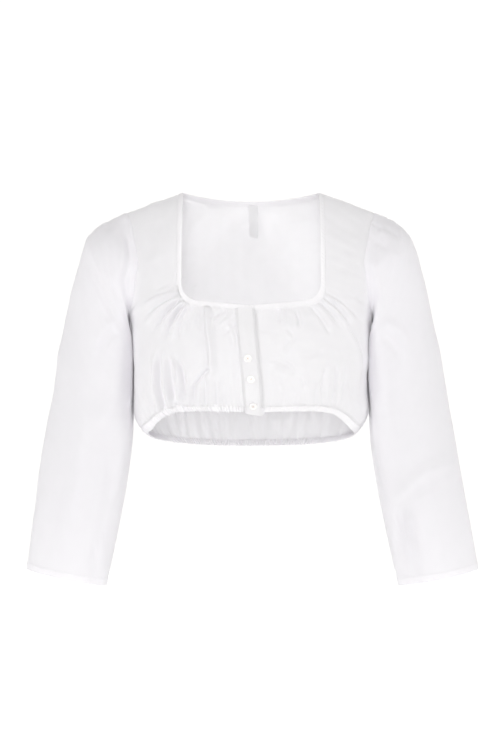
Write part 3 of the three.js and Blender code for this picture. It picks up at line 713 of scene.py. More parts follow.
def weave_group():
    """Plain weave as a node group.

    Threads stand up as the product of two sine waves across the cloth's own directions, in metres.
    A slow noise thickens some threads, and a slower one shades the cloth.
    """
    name = "Plain weave"
    if name in bpy.data.node_groups:
        return bpy.data.node_groups[name]
    group = bpy.data.node_groups.new(name, "ShaderNodeTree")
    group.interface.new_socket("Vector", in_out="INPUT", socket_type="NodeSocketVector")
    group.interface.new_socket("Pitch", in_out="INPUT", socket_type="NodeSocketFloat").default_value = 0.0004
    group.interface.new_socket("Height", in_out="OUTPUT", socket_type="NodeSocketFloat")
    group.interface.new_socket("Shade", in_out="OUTPUT", socket_type="NodeSocketFloat")
    given = group.nodes.new("NodeGroupInput")
    split = linked(group, "ShaderNodeSeparateXYZ", Vector=given.outputs["Vector"])
    waves = []
    for axis in ("X", "Y"):
        turns = maths(group, "DIVIDE", split.outputs[axis], given.outputs["Pitch"])
        waves.append(maths(group, "SINE", maths(group, "MULTIPLY", turns, np.pi)))
    crossing = maths(group, "MULTIPLY", *waves)
    slub = linked(group, "ShaderNodeTexNoise", Vector=given.outputs["Vector"], Scale=420.0, Detail=2.0)
    high = maths(group, "ADD", crossing, maths(group, "MULTIPLY", slub.outputs["Fac"], 1.2))
    cloud = linked(group, "ShaderNodeTexNoise", Vector=given.outputs["Vector"], Scale=60.0, Detail=3.0)
    out = group.nodes.new("NodeGroupOutput")
    group.links.new(high, out.inputs["Height"])
    group.links.new(cloud.outputs["Fac"], out.inputs["Shade"])
    return group


def blank_material(name):
    """A new material with its node tree and its shader."""
    material = bpy.data.materials.new(name)
    material.use_nodes = True
    return material, material.node_tree, material.node_tree.nodes["Principled BSDF"]


def tint(tree, shader, value, shares, colour, start=0.0, stop=1.0):
    """Colour a shader by a value: shares of a colour below start and the whole of it above stop."""
    ramp = tree.nodes.new("ShaderNodeValToRGB")
    low, high = ramp.color_ramp.elements
    low.position, high.position = start, stop
    low.color = (*[share * part for share, part in zip(shares, colour)], 1)
    high.color = (*colour, 1)
    tree.links.new(value, ramp.inputs["Fac"])
    tree.links.new(ramp.outputs["Color"], shader.inputs["Base Color"])


def cloth_material(name, colour, pitch, depth, roughness, sheen, through):
    """Woven cloth on the piece's own UV map: a faint cloud in its colour and the weave as bump.

    through is the share of light that soaks into it, so that thin cloth glows where it is lit
    from behind.
    """
    if name in bpy.data.materials:
        return bpy.data.materials[name]
    material, tree, shader = blank_material(name)
    uv = tree.nodes.new("ShaderNodeUVMap")
    uv.uv_map = "cloth"
    weave = tree.nodes.new("ShaderNodeGroup")
    weave.node_tree = weave_group()
    weave.inputs["Pitch"].default_value = pitch
    tree.links.new(uv.outputs["UV"], weave.inputs["Vector"])
    tint(tree, shader, weave.outputs["Shade"], (0.988, 0.988, 0.988), colour, 0.3, 0.7)
    bump = linked(tree, "ShaderNodeBump", Strength=0.5, Distance=depth, Height=weave.outputs["Height"])
    tree.links.new(bump.outputs["Normal"], shader.inputs["Normal"])
    shader.inputs["Roughness"].default_value = roughness
    shader.inputs["Sheen Weight"].default_value = sheen
    shader.inputs["Sheen Roughness"].default_value = 0.5
    shader.inputs["Subsurface Weight"].default_value = through
    shader.inputs["Subsurface Radius"].default_value = (1, 1, 1)
    shader.inputs["Subsurface Scale"].default_value = 0.0015
    return material


POPLIN = {"pitch": 0.0004, "depth": 0.00006, "roughness": 0.88, "sheen": 0.5}


def cotton(made):
    """White cotton poplin in one layer."""
    return cloth_material("cotton poplin", made.cotton_colour, **POPLIN, through=0.85)


def dense_cotton(made):
    """The same poplin in the sleeves, whose far side keeps light from coming through."""
    return cloth_material("dense cotton poplin", made.cotton_colour, **POPLIN, through=0.45)


def thread_material(name, colour):
    """Sewing thread: twisted plies as a fine slanting bump."""
    if name in bpy.data.materials:
        return bpy.data.materials[name]
    material, tree, shader = blank_material(name)
    place = tree.nodes.new("ShaderNodeTexCoord")
    fuzz = linked(tree, "ShaderNodeTexNoise", Vector=place.outputs["Object"], Scale=5200.0, Detail=1.0)
    tint(tree, shader, fuzz.outputs["Fac"], (0.94, 0.94, 0.94), colour)
    bump = linked(tree, "ShaderNodeBump", Strength=0.4, Distance=0.00005, Height=fuzz.outputs["Fac"])
    tree.links.new(bump.outputs["Normal"], shader.inputs["Normal"])
    shader.inputs["Roughness"].default_value = 0.6
    return material


def pearl_material(made):
    """White shirt-button plastic: faint cloudy bands of colour under a soft gloss."""
    name = "pearl plastic"
    if name in bpy.data.materials:
        return bpy.data.materials[name]
    material, tree, shader = blank_material(name)
    place = tree.nodes.new("ShaderNodeTexCoord")
    cloud = linked(
        tree, "ShaderNodeTexNoise",
        Vector=place.outputs["Object"], Scale=190.0, Detail=3.0, Distortion=1.6,
    )
    tint(tree, shader, cloud.outputs["Fac"], (0.995, 0.985, 0.975), made.button_colour, 0.35, 0.65)
    rough = linked(tree, "ShaderNodeMapRange", Value=cloud.outputs["Fac"], To_Min=0.24, To_Max=0.38)
    tree.links.new(rough.outputs["Result"], shader.inputs["Roughness"])
    shader.inputs["Coat Weight"].default_value = 0.3
    return material


def front_cloth(side, made):
    """One front as a wall: a grid from the casing to the neckline and, at its side, up the strap.

    Between the hem edge and the neckline a row's places are blended by height. On the strap a row
    runs from the neckline's side edge to the armhole. The relief is gathers off both edges, the
    table of creases, a slow swell and a groove at each seam.
    """
    sign = -1 if side == "right" else 1
    neck_columns, columns, lower, strap = 150, 225, 100, 88
    grow = BINDING - TUCK
    neck_length = neck_line(grow)[2][-1]
    corner_end = NECK_CORNER_DEPTH + grow - NECK_CORNER_ROUND
    edge_x = NECK_HALF + grow
    bottom = neck_length - corner_end
    column = np.arange(columns + 1)
    in_neck = np.minimum(column / neck_columns, 1)
    beyond = np.clip((column - neck_columns) / (columns - neck_columns), 0, 1)

    first = front_start(side, NECK_DEPTH + grow) / bottom
    neck_x, neck_down = neck_place(grow, lerp(first, 1, in_neck) * bottom)
    high_angle = lerp(angle_at(neck_x, neck_down), np.pi / 2, beyond)
    high_down = lerp(neck_down, ARMPIT, beyond)
    low_angle = lerp(angle_at(front_start(side, CENTRE_HEM), CENTRE_HEM), np.pi / 2, column / columns)
    low_down = hem_down(low_angle) - CASING + TUCK
    height = ((np.arange(lower + 1) / lower) ** 1.15)[:, None]
    angle, down = lerp(low_angle, high_angle, height), lerp(low_down, high_down, height)

    along = 1 - np.arange(1, strap + 1)[:, None] / strap
    inner_down = corner_end * along**2
    outer_angle = np.radians(read(ARMHOLE, "along", along, "front"))
    outer_down = read(ARMHOLE, "along", along, "down")
    angle = np.vstack([angle, lerp(angle_at(edge_x, inner_down), outer_angle, beyond)])
    down = np.vstack([down, lerp(inner_down, outer_down, beyond)])

    base = form(sign * angle, down)
    across = np.abs(base[..., 0])
    along_row, up = run_length(base, 1), run_length(base, 0)
    from_side = along_row[:, -1:] - along_row
    in_strap = np.arange(lower + strap + 1)[:, None] > lower
    to_neck = np.where(in_strap, 1e3, up[lower] - up)
    above_casing = np.maximum(up - TUCK, 0)
    hem_walk = along_row[0]
    neck_walk = lerp(first, 1, in_neck) * bottom

    seed = 11 if side == "right" else 42
    busy, bold = (1.0, 1.3) if side == "right" else (0.6, 1.0)
    hem_sizes = (3.4, 6, 1, 0), (6.6, 14, 1, 0.02), (13.5, 38, 1.8, 0.04), (27, 70, 0.9, 0.03)
    neck_sizes = (4.6, 8, 0.55, 0), (8.8, 20, 0.9, 0.05)
    hem = busy * all_gathers(hem_walk, above_casing, seed, *hem_sizes)
    neck = busy * all_gathers(neck_walk, to_neck, seed + len(hem_sizes), *neck_sizes)
    neck = neck * (1 - smoothstep(beyond, 0, 0.3))
    roll = 0.7 * swell(across, down, 62, seed + 6) + 0.35 * swell(across, down, 24, seed + 7)
    by_hand = creases(FRONT_CREASES[side], across, down) * smoothstep(to_neck, 0, 6)
    edges = smoothstep(from_side, 1, 26) * smoothstep(along_row, 1, 9)
    edges = edges * smoothstep(up, *TUCK_FADE) * smoothstep(to_neck, *TUCK_FADE)
    groove = seam_groove(from_side, up)
    flush = FLUSH * (1 - smoothstep(up, TUCK, 4 * TUCK)) * smoothstep(up, 0, TUCK)
    cloth = hem * (1 - in_strap) + neck + bold * by_hand + roll
    relief = made.gather_height * cloth * edges + groove + flush

    angle = sign * angle
    keep = np.ones((lower + strap, columns), bool)
    keep[lower:, :neck_columns] = False
    uv = np.stack([along_row, up], -1)
    walls = both_faces(lambda lift: on_form(angle, down, lift), relief, made)
    return wall_mesh(f"front_{side}_cloth", *walls, uv, keep)


def back_cloth(made):
    """The back as a wall: a grid from the casing to the neckline and the shoulder seams.

    Below the armpits a row keeps its share of the way round. Above, it is blended to the top edge,
    and its ends are shifted to follow the armholes.
    """
    half, neck_columns, lower, upper = 124, 64, 82, 84
    grow = BINDING - TUCK
    signed = np.arange(-half, half + 1)
    column = np.abs(signed)
    f = column / half
    side_angle = f * np.pi / 2
    neck_x, neck_down = back_neck_place(np.minimum(column / neck_columns, 1), grow)
    beyond = np.clip((column - neck_columns) / (half - neck_columns), 0, 1)
    tip = np.radians(ARMHOLE["back"][0])
    shoulder_angle = lerp(angle_at(NECK_HALF + grow, 0), tip, beyond)
    top_angle = np.where(beyond > 0, shoulder_angle, angle_at(neck_x, neck_down))
    top_down = np.where(beyond > 0, 0, neck_down)

    height = ((np.arange(lower + 1) / lower) ** 1.15)[:, None]
    hem = hem_down(np.pi - side_angle) - CASING + TUCK
    angle, down = side_angle + 0 * height, lerp(hem, ARMPIT, height)
    rise = np.arange(1, upper + 1)[:, None] / upper
    climb = 1 - (1 - rise) ** 2
    shift_angle = np.radians(read(ARMHOLE, "along", 1 - rise, "back")) - lerp(np.pi / 2, tip, climb)
    shift_down = read(ARMHOLE, "along", 1 - rise, "down") - lerp(ARMPIT, 0, climb)
    angle = np.vstack([angle, lerp(side_angle, top_angle, climb) + f**3 * shift_angle])
    down = np.vstack([down, np.maximum(lerp(ARMPIT, top_down, climb) + f**3 * shift_down, 0)])

    angle = np.pi - np.sign(signed) * angle
    base = form(angle, down)
    across = base[..., 0]
    along_row, up = run_length(base, 1), run_length(base, 0)
    from_side = np.minimum(along_row, along_row[:, -1:] - along_row)
    above_casing = np.maximum(up - TUCK, 0)
    hem_sizes = (3.2, 7, 0.6, 0), (6.8, 18, 1.1, 0.03), (14, 42, 1.5, 0.05), (29, 85, 1.6, 0.04)
    gathered = all_gathers(along_row[0], above_casing, 71, *hem_sizes)
    roll = 0.8 * swell(across, down, 75, 75) + 0.3 * swell(across, down, 28, 76)
    by_hand = creases(BACK_CREASES, across, down)
    edges = smoothstep(from_side, 1, 26) * smoothstep(up[-1] - up, 2, 14) * smoothstep(up, *TUCK_FADE)
    groove = seam_groove(from_side, up)
    relief = made.gather_height * (gathered + roll + by_hand) * edges + groove

    uv = np.stack([along_row, up], -1)
    walls = both_faces(lambda lift: on_form(angle, down, lift), relief, made)
    return wall_mesh("back_cloth", *walls, uv)


def armhole(turn):
    """Points of the armhole's edge by the share of a turn from the shoulder tip down the front."""
    turn = turn - np.floor(turn)
    in_front = turn <= 0.5
    along = np.where(in_front, 2 * turn, 2 - 2 * turn)
    front, back = [np.radians(read(ARMHOLE, "along", along, face)) for face in ("front", "back")]
    return form(np.where(in_front, front, np.pi - back), read(ARMHOLE, "along", along, "down"))


def sleeve_form(side):
    """A sleeve's surface as a function of the share of its length and of a turn.

    Each ring is an ellipse between an outer and an inner edge, read from the table, sheared so that
    its inner edge lies further back, late on its front face, which is squarer beside the body. The
    armhole's own shape is added to the first rings and dies out over RING_SETTLE.
    """
    wider, cuff, squarer, late, closer = HANG[side]

    def oval(share, turn):
        c, s = np.cos(2 * np.pi * turn), np.sin(2 * np.pi * turn)
        near_body = smoothstep(share, 0.12, 0.3) * (1 - smoothstep(share, 0.7, 1))
        square = 2 + squarer * near_body * ((c < 0) & (s > 0))
        grown = (np.abs(c) ** square + np.abs(s) ** square) ** (-1 / square)
        c, s = c * grown, s * grown
        ring = {name: read(SLEEVE, "ring", share * SLEEVE_RINGS, name) for name in SLEEVE}
        here = np.clip(share, 0, 1)
        swing = wider * np.sin(np.pi * here) * (1 + c) / 2 + cuff * here**3
        corner = near_body * smoothstep(s, 0.8, 0.95) * smoothstep(-c, 0.3, 0.9)
        x = lerp(ring["inner_x"], ring["outer_x"], (1 + c) / 2) + swing - closer * corner
        bend = np.where(s > 0, late, 1)
        y = ring["inner_back"] * ((1 - c) / 2) ** bend - ring["forward"] - ring["half_depth"] * s
        z = lerp(ring["inner_z"], ring["outer_z"], (1 + c) / 2)
        return np.stack(np.broadcast_arrays(x, y, z), -1)

    def surface(share, turn):
        share, turn = np.broadcast_arrays(share, turn)
        settled = (1 - smoothstep(share, 0, RING_SETTLE))[..., None]
        return oval(share, turn) + (armhole(turn) - oval(0 * share, turn)) * settled

    return surface


def on_sleeve(side, share, turn, lift):
    """Points of cloth on a sleeve, lifted straight off it."""
    share, turn, lift = np.broadcast_arrays(share, turn, lift)
    surface = sleeve_form(side)
    point = surface(share, turn) + outward(surface, share, turn, 0.004, 0.004) * lift[..., None]
    return point * (-1 if side == "right" else 1, 1, 1)


def sleeve_relief(side, share, turn, made):
    """The height of a sleeve's eased head, its creases, its slow swell and its seams."""
    base = sleeve_form(side)(share, turn)
    across, down = base[..., 0], -base[..., 2]
    long, around = SLEEVE_LONG * share, SLEEVE_ROUND * (turn - np.floor(turn + 0.5))
    seed = 91 if side == "right" else 131
    near_top = bell(around, 62)
    head = gathers(around + 400, long - 2, 10.5, 19, 1.2, seed) + 0.5 * bell(long - 11, 9)
    facing = np.sin(2 * np.pi * turn)
    front, back = SLEEVE_CREASES[side]
    by_hand = creases(front, across, down) * smoothstep(facing, 0.05, 0.4)
    by_hand = 1.4 * (by_hand + creases(back, across, down) * smoothstep(-facing, 0.05, 0.4))
    wave = around + 30 * np.sin(long / 90)
    roll = 0.9 * swell(long, wave, 95, seed + 1) + 0.3 * swell(long, wave, 34, seed + 2)
    roll = roll * smoothstep(np.abs(np.abs(around) - SLEEVE_ROUND / 2), 35, 75)
    start = smoothstep(long, 0.5, 14)
    end = 1 - 0.5 * smoothstep(long, SLEEVE_LONG - 40, SLEEVE_LONG)
    groove = seam_groove(long, around, 1.2, 0.35, 2.4)
    seam_at = 0.5 - 0.02 * smoothstep(share, 0.2, 1)
    from_seam = SLEEVE_ROUND * (turn - seam_at)
    seam = -0.8 * bell(from_seam, 1.6) * (1 + 0.3 * np.sin(long / 3.1)) * smoothstep(long, 4, 30)
    relief = head * near_top * smoothstep(long, 0.5, 5) + (by_hand + roll) * start * end
    return made.gather_height * relief + groove + seam


def sleeve_cloth(side, made):
    """A sleeve as a wall that closes round, from the armhole into its cuff."""
    rows, columns = 150, 176
    share = ((np.arange(rows + 1) / rows) ** 1.12 * (1 - 0.15 * CUFF_SHARE))[:, None]
    turn = np.arange(columns)[None] / columns
    share, turn = np.broadcast_arrays(share, turn)
    relief = sleeve_relief(side, share, turn, made)
    walls = both_faces(lambda lift: on_sleeve(side, share, turn, lift), relief, made)
    around = SLEEVE_ROUND * np.arange(columns + 1)[None] / columns
    uv = np.stack(np.broadcast_arrays(around, SLEEVE_LONG * share[:, :1]), -1)
    return wall_mesh(f"sleeve_{side}_cloth", *walls, uv, closed=True)


def cuff_strip(side, made):
    """The turned hem of a sleeve, carried round it and following its relief."""

    def at(u, w, lift):
        share = 1 - CUFF_SHARE * w
        u, share, lift = np.broadcast_arrays(u, share, lift)
        return on_sleeve(side, share, u, lift + sleeve_relief(side, share, u, made))

    def relief(u, w):
        pucker = 0.07 * np.sin(2 * np.pi * 88 * u) * bell(w - 0.7, 0.25)
        return pucker - 0.2 * bell(w - FOLD_ROW, 0.07)

    return Strip(at, 1.25, 0.0, relief, 5)


def casing_strip(start, stop, pitch, height, seed):
    """An elastic tunnel along the hem, rippled by its gathers and pinched along its stitching."""
    length = abs(stop - start) * HEM_RADIUS

    def ripple(u):
        sizes = (pitch, 10, height, 0), (2.7 * pitch, 10, 0.5 * height, 0)
        return all_gathers(u * length, 0 * u, seed, *sizes)

    def at(u, w, lift):
        angle = lerp(start, stop, u)
        edge = 0.6 * (1 - smoothstep(w, 0, 0.4)) * ripple(u)
        return on_form(angle, hem_down(angle) - CASING * w + edge, lift)

    def relief(u, w):
        pinch = bell(w - FOLD_ROW, 0.09)
        return ripple(u) * (1 - 0.4 * pinch) - 0.25 * pinch

    return Strip(at, CASING_THICK, 0.0, relief, 3.2)


def binding_strip():
    """The strip round the neckline: from its right end at the closure, round the back, to its left."""
    front_share = 0.355
    inner_length = neck_line(0)[2][-1]
    outer_length = neck_line(BINDING)[2][-1]

    def front(share, w, sign):
        first = (LAP_TOP * sign + 0.8) / inner_length
        place = lerp(first, 1, share)
        inner = neck_place(0, np.abs(place) * inner_length)
        outer = neck_place(BINDING, np.abs(place) * outer_length)
        x, down = [lerp(a, b, w) for a, b in zip(inner, outer)]
        return sign * angle_at(np.sign(place) * x, down), down

    def at(u, w, lift):
        u, w, lift = np.broadcast_arrays(u, w, lift)
        right = front(np.minimum(u / front_share, 1), w, -1)
        left = front(np.minimum((1 - u) / front_share, 1), w, 1)
        back_x, back_down = back_neck_place(np.clip((2 * u - 1) / (1 - 2 * front_share), -1, 1), BINDING * w)
        back = np.pi - angle_at(back_x, back_down), back_down
        choose = [u <= front_share, u >= 1 - front_share]
        angle, down = [np.select(choose, [r, l], b) for r, l, b in zip(right, left, back)]
        return on_form(angle, down, lift)

    def relief(u, w):
        pucker = 0.12 * np.sin(u * 780) * np.sin(u * 61 + 1)
        return pucker + 0.15 * (1 - (2 * w - 1) ** 2) - 0.32 * bell(w - BINDING_ROW, 0.08)

    return Strip(at, BINDING_THICK, 0.0, relief, 4.5)


def placket_strip(start, stop, lift_off, seed):
    """A straight band down the closure, slightly wavy, with its stitching pressed in."""
    top = NECK_DEPTH + BINDING - TUCK

    def at(u, w, lift):
        down = lerp(CENTRE_HEM + PLACKET_DROP - PLACKET_RISE * (1 - w), top, u)
        x = lap_edge(down) + lerp(start, stop, w) + 0.35 * np.sin(u * 17 + seed)
        wave = 0.35 * swell(60 * w, 150 * u, 40, seed) * smoothstep(u, 0, 0.1)
        wave = wave * (1 - smoothstep(w, 0.8, 1)) - 0.35 * smoothstep(np.abs(2 * w - 1), 0.7, 1)
        return on_form(angle_at(x, down), down, lift + wave)

    def relief(u, w):
        edges = sum(bell(w - row, 0.03) for row in BAND_ROWS)
        long = 150 * u
        return edges * (0.08 * np.sin(long / 1.9) - 0.22 * (1 + 0.4 * np.sin(long / 1.3)))

    return Strip(at, DOUBLE_CLOTH, lift_off, relief, 3)


def placket_strips():
    """The buttonhole band and, under it, the button band."""
    over = placket_strip(-PLACKET, 0, PLACKET_LIFT, 3)
    under = placket_strip(UNDER_LAP - PLACKET, UNDER_LAP - 0.6, UNDER_LIFT, 8)
    return over, under


def casing_strips():
    """The three elastic tunnels, by the end of their pieces' names."""
    side, gap = np.pi / 2, 0.0025
    right = angle_at(PLACKET + 0.5 - lap_edge(CENTRE_HEM), CENTRE_HEM)
    left = angle_at(UNDER_LAP - 0.5 + lap_edge(CENTRE_HEM), CENTRE_HEM)
    return {
        "front_right": casing_strip(-side + gap, -right, 3.4, 2.2, 5),
        "front_left": casing_strip(left, side - gap, 3.1, 0.7, 15),
        "back": casing_strip(side + gap, 3 * side - gap, 3.4, 1.8, 25),
    }


def stitches_mesh(name, rows, length, thick):
    """Rows of stitches as one mesh.

    rows holds (points, normals) along each row's line. Each stitch is a six-sided capsule, set at
    even steps along the line, that arches up in its middle and dips into the cloth at its ends.
    """
    reach = np.array([-0.5, -0.42, -0.15, 0.15, 0.42, 0.5]) * length
    fat = np.array([0.05, 0.8, 1, 1, 0.8, 0.05]) * thick / 2
    arch = thick * (0.35 - 15 * (reach / length) ** 4)
    turn = 2 * np.pi * np.arange(6) / 6
    beside, above = fat[:, None] * np.cos(turn), arch[:, None] + fat[:, None] * np.sin(turn)
    local = np.stack(np.broadcast_arrays(reach[:, None], beside, above), -1).reshape(-1, 3)
    placed = []
    for points, normals, pitch in rows:
        walked = np.concatenate([[0], np.linalg.norm(np.diff(points, axis=0), axis=-1).cumsum()])
        at = np.arange(pitch / 2, walked[-1] - pitch / 4, pitch)
        spot, normal, ahead = [
            np.stack([np.interp(s, walked, values[:, k]) for k in range(3)], -1)
            for s, values in ((at, points), (at, normals), (at + 0.3, points))
        ]
        behind = np.stack([np.interp(at - 0.3, walked, points[:, k]) for k in range(3)], -1)
        along = ahead - behind
        along /= np.linalg.norm(along, axis=-1, keepdims=True)
        beside = np.cross(normal, along)
        beside /= np.linalg.norm(beside, axis=-1, keepdims=True)
        axes = np.stack([along, beside, np.cross(along, beside)], 1)
        placed.append(spot[:, None] + np.einsum("pk,nkc->npc", local, axes))
    placed = np.concatenate(placed)
    r, c = grid_places(5, 6)
    quad = np.stack([r * 6 + c, r * 6 + (c + 1) % 6, (r + 1) * 6 + (c + 1) % 6, (r + 1) * 6 + c], 1)
    caps = np.stack([np.arange(6)[::-1], 30 + np.arange(6)])
    offset = 36 * np.arange(len(placed))[:, None, None]
    faces = [(face[None] + offset).reshape(-1, face.shape[1]) for face in (quad, caps)]
    return mesh_of(name, placed.reshape(-1, 3), faces)


def stitch_line(strip, w, pitch, start=0.0, stop=1.0):
    """The line of a row of stitches along a strip's outer face, with its normals and pitch."""
    u = np.linspace(start, stop, 1600)
    lift = strip.top(u, w + 0 * u) + 0.05
    points = strip.at(u, w + 0 * u, lift)
    normals = strip.at(u, w + 0 * u, lift + 0.5) - points
    return points, normals / np.linalg.norm(normals, axis=-1, keepdims=True), pitch


def button_frame(x, down):
    """A button's foot on the buttonhole band and its three directions, its axis last."""
    angle = angle_at(np.array(x), np.array(down))
    foot = on_form(angle, np.array(down), np.array(PLACKET_LIFT + DOUBLE_CLOTH / 2 + 0.15))
    axis = outward(form, angle, np.array(down), 0.01, 0.4)
    right = np.cross(axis, [0, 0, 1.0])
    right /= np.linalg.norm(right)
    return foot, np.stack([right, np.cross(axis, right), axis])


def button_mesh(name, x, down):
    """A button: a profile carried round its axis, the dished face sunk at four holes.

    The height of the face is a raised rim, a dish inside it and a deep smooth pit at each hole.
    """
    around = 72
    turn = 2 * np.pi * np.arange(around) / around
    radii = np.concatenate([BUTTON_RIM, np.arange(3.5, 0.2, -0.2), [0.15]])
    face = BUTTON_THICK - BUTTON_DISH * smoothstep(-radii, -4.45, -3.5)
    face -= np.array([1.6, 0.45, 0.2, 0.05] + [0] * (len(radii) - 4))
    px, py = radii[:, None] * np.cos(turn), radii[:, None] * np.sin(turn)
    sides = -HOLE_AT, HOLE_AT
    pits = sum(1 - smoothstep(np.hypot(px - hx, py - hy), 0.45, 0.85) for hx in sides for hy in sides)
    front = np.stack([px, py, face[:, None] - HOLE_DEPTH * pits], -1)
    under = np.array([[5.3, 0.35], [4.8, 0.05], [2.5, 0], [0.15, 0]])
    wide, high = under[:, :1], under[:, 1:]
    back = np.stack(np.broadcast_arrays(wide * np.cos(turn), wide * np.sin(turn), high), -1)
    rings = np.concatenate([back[::-1], front])
    foot, axes = button_frame(x, down)
    return tube_mesh(name, foot + rings @ axes)


def button_thread_rows(x, down):
    """Two crossed strands of thread between a button's four holes."""
    foot, axes = button_frame(x, down)
    rows = []
    for sign in (1, -1):
        across = np.linspace(-1, 1, 9)[:, None] * [HOLE_AT, HOLE_AT * sign, 0]
        line = across + [0, 0, BUTTON_THICK - BUTTON_DISH + 0.05]
        rows.append((foot + line @ axes, np.repeat(axes[2:], 9, 0), STRAND))
    return rows


def buttonhole_mesh(name, x, down):
    """A worked buttonhole: a thin cord of close stitches round a slit, a tube along a long oval."""
    stations, around, long, high = 260, 8, 6.2, 1.25
    u = 2 * np.pi * np.arange(stations) / stations
    c, s = np.cos(u), np.sin(u)
    cx, cd = x - HOLE_SHIFT + long * signed_power(c, 0.55), down + high * signed_power(s, 0.75)
    turn = 2 * np.pi * np.arange(around) / around
    ridge = 0.5 + 0.06 * np.sin(u * 62)
    out_c, out_s = c / long, s / high
    norm = np.hypot(out_c, out_s)
    px = cx[:, None] + (ridge * out_c / norm)[:, None] * np.cos(turn)
    pd = cd[:, None] + (ridge * out_s / norm)[:, None] * np.cos(turn)
    lift = PLACKET_LIFT + DOUBLE_CLOTH / 2 + 0.55 * ridge[:, None] * np.sin(turn)
    return tube_mesh(name, on_form(angle_at(px, pd), pd, lift), closed=True)


def label_strip():
    """A blank folded ribbon that hangs from the binding inside the back neck, turned a little."""
    top = shoulder_line(0.0) + BACK_NECK_DIP + 0.9 * BINDING - 2

    def at(u, w, lift):
        u, w, lift = np.broadcast_arrays(u, w, lift)
        x = LABEL_X + LABEL_WIDTH * (w - 0.5) + 1.5 * u
        down = top + (LABEL_LENGTH + 2) * u
        inwards = 1.5 + 9 * (0.5 + 0.5 * w) * u**1.2 + 0.4 * np.sin(3 * w + 4 * u)
        return on_form(np.pi - angle_at(x, down), down, lift - inwards)

    def relief(u, w):
        edge = bell(w, 0.06) + bell(w - 1, 0.06)
        return 0.08 * edge + 0.15 * smoothstep(u, 0.9, 1)

    return Strip(at, 0.8, 0.0, relief, 8)


def length(name, description, default, low, high):
    """A length among the settings."""
    return bpy.props.FloatProperty(
        name=name, description=description, default=default, min=low, max=high, unit="LENGTH"
    )


def colour(name, description, default):
    """A colour among the settings."""
    return bpy.props.FloatVectorProperty(
        name=name, description=description, default=default, min=0, max=1, size=3, subtype="COLOR"
    )


class BlouseProperties(bpy.types.PropertyGroup):
    """Sizes and colours of the blouse."""

    cloth_thickness: length("Cloth Thickness", "Thickness of one layer of cloth", 0.0004, 0.0002, 0.001)
    gather_height: bpy.props.FloatProperty(
        name="Gather Height", description="Height of the gathers and creases, as a share of the full one",
        default=1.0, min=0.0, max=1.5, subtype="FACTOR",
    )
    stitch_length: length("Stitch Length", "Length of one machine stitch", 0.0019, 0.001, 0.004)
    thread_thickness: length("Thread Thickness", "Thickness of the sewing thread", 0.00032, 0.0001, 0.001)
    cotton_colour: colour("Cotton Colour", "Colour of the cloth", (0.93, 0.914, 0.952))
    thread_colour: colour("Thread Colour", "Colour of the stitches", (0.92, 0.91, 0.93))
    # Dark tan: partly the thread's own colour, partly painted shade that darkens each button's dish and holes
    button_thread_and_shade_colour: colour(
        "Button Thread And Shade Colour", "Colour of the thread in the buttons, also painted shade in their middles", (0.66, 0.5, 0.36)
    )
    button_colour: colour("Button Colour", "Colour of the buttons", (0.95, 0.945, 0.945))
    label_colour: colour("Label Colour", "Colour of the blank label", (0.95, 0.945, 0.96))


class BLOUSE_OT_fronts(bpy.types.Operator):
    """Make the two gathered fronts"""

    bl_idname = "blouse.fronts"
    bl_label = "Fronts"

    def execute(self, context):
        made = context.scene.blouse
        for side in ("right", "left"):
            new_piece(f"front_{side}_cloth", front_cloth(side, made), cotton(made), "cotton", f"front_{side}")
        return {"FINISHED"}


class BLOUSE_OT_back(bpy.types.Operator):
    """Make the gathered back"""

    bl_idname = "blouse.back"
    bl_label = "Back"

    def execute(self, context):
        made = context.scene.blouse
        new_piece("back_cloth", back_cloth(made), cotton(made), "cotton", "back")
        return {"FINISHED"}


class BLOUSE_OT_sleeves(bpy.types.Operator):
    """Make the sleeves and their turned hems"""

    bl_idname = "blouse.sleeves"
    bl_label = "Sleeves"

    def execute(self, context):
        made = context.scene.blouse
        for side in ("right", "left"):
            sleeve = sleeve_cloth(side, made)
            new_piece(f"sleeve_{side}_cloth", sleeve, dense_cotton(made), "cotton", f"sleeve_{side}")
            cuff = cuff_strip(side, made).mesh(f"cuff_{side}", 320, 16, closed=True)
            new_piece(f"cuff_{side}", cuff, dense_cotton(made), "cotton", f"sleeve_hem_{side}")
        return {"FINISHED"}


class BLOUSE_OT_casings(bpy.types.Operator):
    """Make the elastic tunnels at the hem"""

    bl_idname = "blouse.casings"
    bl_label = "Hem Casings"

    def execute(self, context):
        made = context.scene.blouse
        for end, strip in casing_strips().items():
            name = f"casing_{end}"
            mesh = strip.mesh(name, 1300 if end == "back" else 660, 22)
            new_piece(name, mesh, cotton(made), "cotton", f"hem_casing_{end}")
        return {"FINISHED"}


class BLOUSE_OT_bands(bpy.types.Operator):
    """Make the neckline's binding and the two bands of the closure"""

    bl_idname = "blouse.bands"
    bl_label = "Binding and Bands"

    def execute(self, context):
        made = context.scene.blouse
        new_piece("binding", binding_strip().mesh("binding", 760, 22), cotton(made), "cotton", "neck_binding")
        over, under = placket_strips()
        over, under = over.mesh("buttonhole_band", 180, 60), under.mesh("button_band", 120, 48)
        new_piece("buttonhole_band", over, cotton(made), "cotton", "placket_right")
        new_piece("button_band", under, cotton(made), "cotton", "placket_left")
        return {"FINISHED"}


